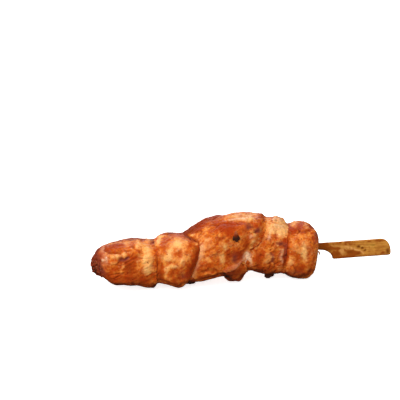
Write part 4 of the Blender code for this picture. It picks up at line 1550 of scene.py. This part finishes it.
def add_lump(shape, centre, normal, size, taper=0.0, rugged=0.3, detail=3, seed=0.0):
    """An uneven lump; its size is its half width, half height and half thickness in mm."""
    normal = unit(np.array(normal, float))
    side = unit(np.cross((0.0, 0.0, 1.0), normal))
    top = np.cross(normal, side)
    ball = bmesh.ops.create_icosphere(shape, subdivisions=detail, radius=1.0)
    for vertex in ball["verts"]:
        way = vertex.co.normalized()
        swell = 1.0 + rugged * noise.noise(way * 1.6 + Vector((seed, 2.0 * seed, 0.7)))
        swell += 0.4 * rugged * noise.noise(way * 4.2 + Vector((0.3, seed, seed)))
        narrow = 1.0 - taper * 0.5 * (way.y + 1.0)
        offset = side * (way.x * size[0] * narrow) + top * (way.y * size[1]) + normal * (way.z * size[2])
        vertex.co = Vector((np.array(centre) + offset * swell) * MM + NECK_ARRAY)

# %% Shape a strip
def between(first, last, share):
    return np.array(first) * (1.0 - share) + np.array(last) * share


def add_strip(shape, knots, thick, seed=0.0):
    """A flat noodle through a few knots; each is a place, a normal and a half width in mm."""
    ball = bmesh.ops.create_uvsphere(shape, u_segments=16, v_segments=10 * len(knots), radius=1.0)
    for vertex in ball["verts"]:
        height = max(-0.9999, min(0.9999, vertex.co.z))
        along = 0.5 * (height + 1.0) * (len(knots) - 1)
        number = min(int(along), len(knots) - 2)
        share = along - number
        first, last = knots[number], knots[number + 1]
        place = between(first[0], last[0], share)
        normal = unit(between(first[1], last[1], share))
        side = unit(np.cross(np.array(last[0]) - np.array(first[0]), normal))
        full = (1.0 - height ** 4) ** 0.5 / max((1.0 - height ** 2) ** 0.5, 1e-4)
        full *= 1.0 + 0.35 * noise.noise(Vector((along * 1.7, seed, 0.3)))
        wide = (first[2] * (1.0 - share) + last[2] * share) * full
        wave = 0.3 * noise.noise(Vector((0.8, along * 1.3, seed)))
        offset = side * (vertex.co.x * wide + wave) + normal * (vertex.co.y * thick * full)
        vertex.co = Vector((place + offset) * MM + NECK_ARRAY)


def skin_knots(rows, sink):
    """Turns rows of X, Z and a half width into knots that lie a little way under the skin."""
    knots = []
    for x, z, wide in rows:
        place, normal = on_skin(x, z)
        knots.append((place - sink * normal, normal, wide))
    return knots

# %% Paint and finish a small thing
def finish_small(name, shape, paints):
    """Paints a small piece in nearly even coats, gives it the meat's material and lets it ride."""
    bmesh.ops.recalc_face_normals(shape, faces=shape.faces)
    piece = add_piece(name, shape)
    places, _ = read_points(piece.data)
    for paint in PAINTS:
        coat = paints.get(paint, 0.0)
        amount = coat(places) if callable(coat) else np.full(len(places), coat)
        write_attribute(piece.data, paint, amount + 0.15 * amount * rough(places, 0.9, (5.0, 1.0, 3.0)))
    piece.data.materials.append(MEAT)
    piece.data.shade_smooth()
    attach(piece, "root")
    print(name, len(piece.data.polygons), "faces")


def height_of(places):
    """How high the places lie for the person in front, in mm from the shaft."""
    return front_places(places)[:, 1]

# %% The pepper flake
flake = bmesh.new()
place, normal = on_skin(-44.5, 8.9)
add_lump(flake, place + 0.2 * normal, normal, (2.3, 2.5, 0.7), taper=0.6, rugged=0.35, detail=4, seed=3.0)
finish_small("pepper_flake", flake, {
    CHAR: lambda places: 0.95 - 0.70 * smooth_step(8.0, 11.0, height_of(places)),
    GREY: lambda places: 0.25 * smooth_step(8.5, 11.0, height_of(places)),
    WINE: 0.5,
    WET: 0.1,
})

# %% The white sinew and the flap of skin
SINEW_TRUNK = ((-39.2, 0.0, 0.6), (-38.4, -1.6, 1.4), (-37.6, -3.2, 1.7), (-36.9, -4.7, 1.2),
               (-36.2, -6.0, 0.8), (-35.6, -7.4, 0.4))
SINEW_BRANCH = ((-38.4, -3.6, 0.6), (-39.1, -5.4, 0.8), (-39.6, -7.4, 0.5))
FLAP = ((-39.6, -4.2, 0.3), (-41.4, -5.6, 0.6), (-43.4, -7.2, 0.9), (-45.4, -8.6, 1.3),
        (-47.6, -9.5, 1.5), (-49.8, -10.1, 1.3), (-51.6, -10.5, 0.6))

sinew = bmesh.new()
add_strip(sinew, skin_knots(SINEW_TRUNK, sink=0.3), thick=0.5, seed=1.0)
add_strip(sinew, skin_knots(SINEW_BRANCH, sink=0.25), thick=0.4, seed=5.0)
finish_small("white_sinew", sinew, {
    GREY: lambda places: 0.5 + 0.4 * smooth_step(-6.5, -3.5, height_of(places)),
    PALE: 0.3,
    WET: 0.2,
})

flap = bmesh.new()
add_strip(flap, skin_knots(FLAP, sink=0.35), thick=0.6, seed=8.0)
finish_small("skin_flap", flap, {
    # Painted highlight: the grey rises to a peak on the flap's lower left.
    GREY: lambda places: 0.12 + 0.30 * np.exp(-((places[:, 0] + 46.5) / 2.4) ** 2),
    RED: 0.45,
    WET: 0.15,
})

# %% The burnt drips and the shred at the neck
TO_THE_FRONT = (0.0, -1.0, 0.1)
SHRED = (((-1.4, -1.9, -1.6), (0.3, -0.9, 0.3), 0.4), ((-0.2, -2.0, -2.0), (0.3, -0.9, 0.3), 0.45),
         ((0.3, -2.1, -2.8), (0.6, -0.8, 0.0), 0.5), ((0.6, -2.2, -4.0), (0.6, -0.8, 0.0), 0.4))

drips = bmesh.new()
add_lump(drips, (-27.6, -5.0, -11.8), TO_THE_FRONT, (2.4, 2.1, 1.7), rugged=0.5, seed=2.0)
add_lump(drips, (-69.9, -7.0, -12.2), TO_THE_FRONT, (2.3, 1.0, 1.5), rugged=0.5, seed=7.0)
finish_small("burnt_drips", drips, {CHAR: 0.95, WINE: 0.3, WET: 0.1})

shred = bmesh.new()
add_strip(shred, SHRED, thick=0.4, seed=4.0)
finish_small("loose_shred", shred, {GREY: 0.8, CHAR: 0.12})

# %% [markdown]
# ## Crumbs and grains
# Crumbs of burnt marinade cake the tip, and grains of spice lie all over. Hundreds of shapes that
# are placed by hand would be tedious and look planned, so a seeded luck throws them, and each is a
# tiny uneven ball with only a few dozen faces.

# %% Throw the crumbs and the grains
CRUMB_THROWS = 60
GRAINS_PER_CHUNK = 34
SEEDS = 97

luck = np.random.RandomState(11)
crumbs = bmesh.new()
for number in range(CRUMB_THROWS):
    low = luck.uniform(-8.5, 1.0)
    place, normal = on_skin(luck.uniform(-120.8, -116.8 - 0.35 * low), low)
    if place is None:
        continue
    size = luck.uniform(0.3, 0.7)
    add_lump(crumbs, place + 0.1 * normal, normal, (size, 0.8 * size, 0.7 * size), rugged=0.7,
             detail=2, seed=number)
finish_small("burnt_crumbs", crumbs, {CHAR: 0.25, WINE: 0.9, WET: 0.6})

spice = bmesh.new()
for chunk in chunks:
    places, normals = read_points(chunk.data)
    for number in luck.choice(len(places), GRAINS_PER_CHUNK, replace=False):
        size = luck.uniform(0.18, 0.42)
        add_lump(spice, places[number], normals[number], (size, 0.75 * size, 0.5 * size), rugged=0.6,
                 detail=1, seed=float(number % SEEDS))
finish_small("spice_grains", spice, {RED: 1.0, CHAR: 0.3, WET: 0.1})
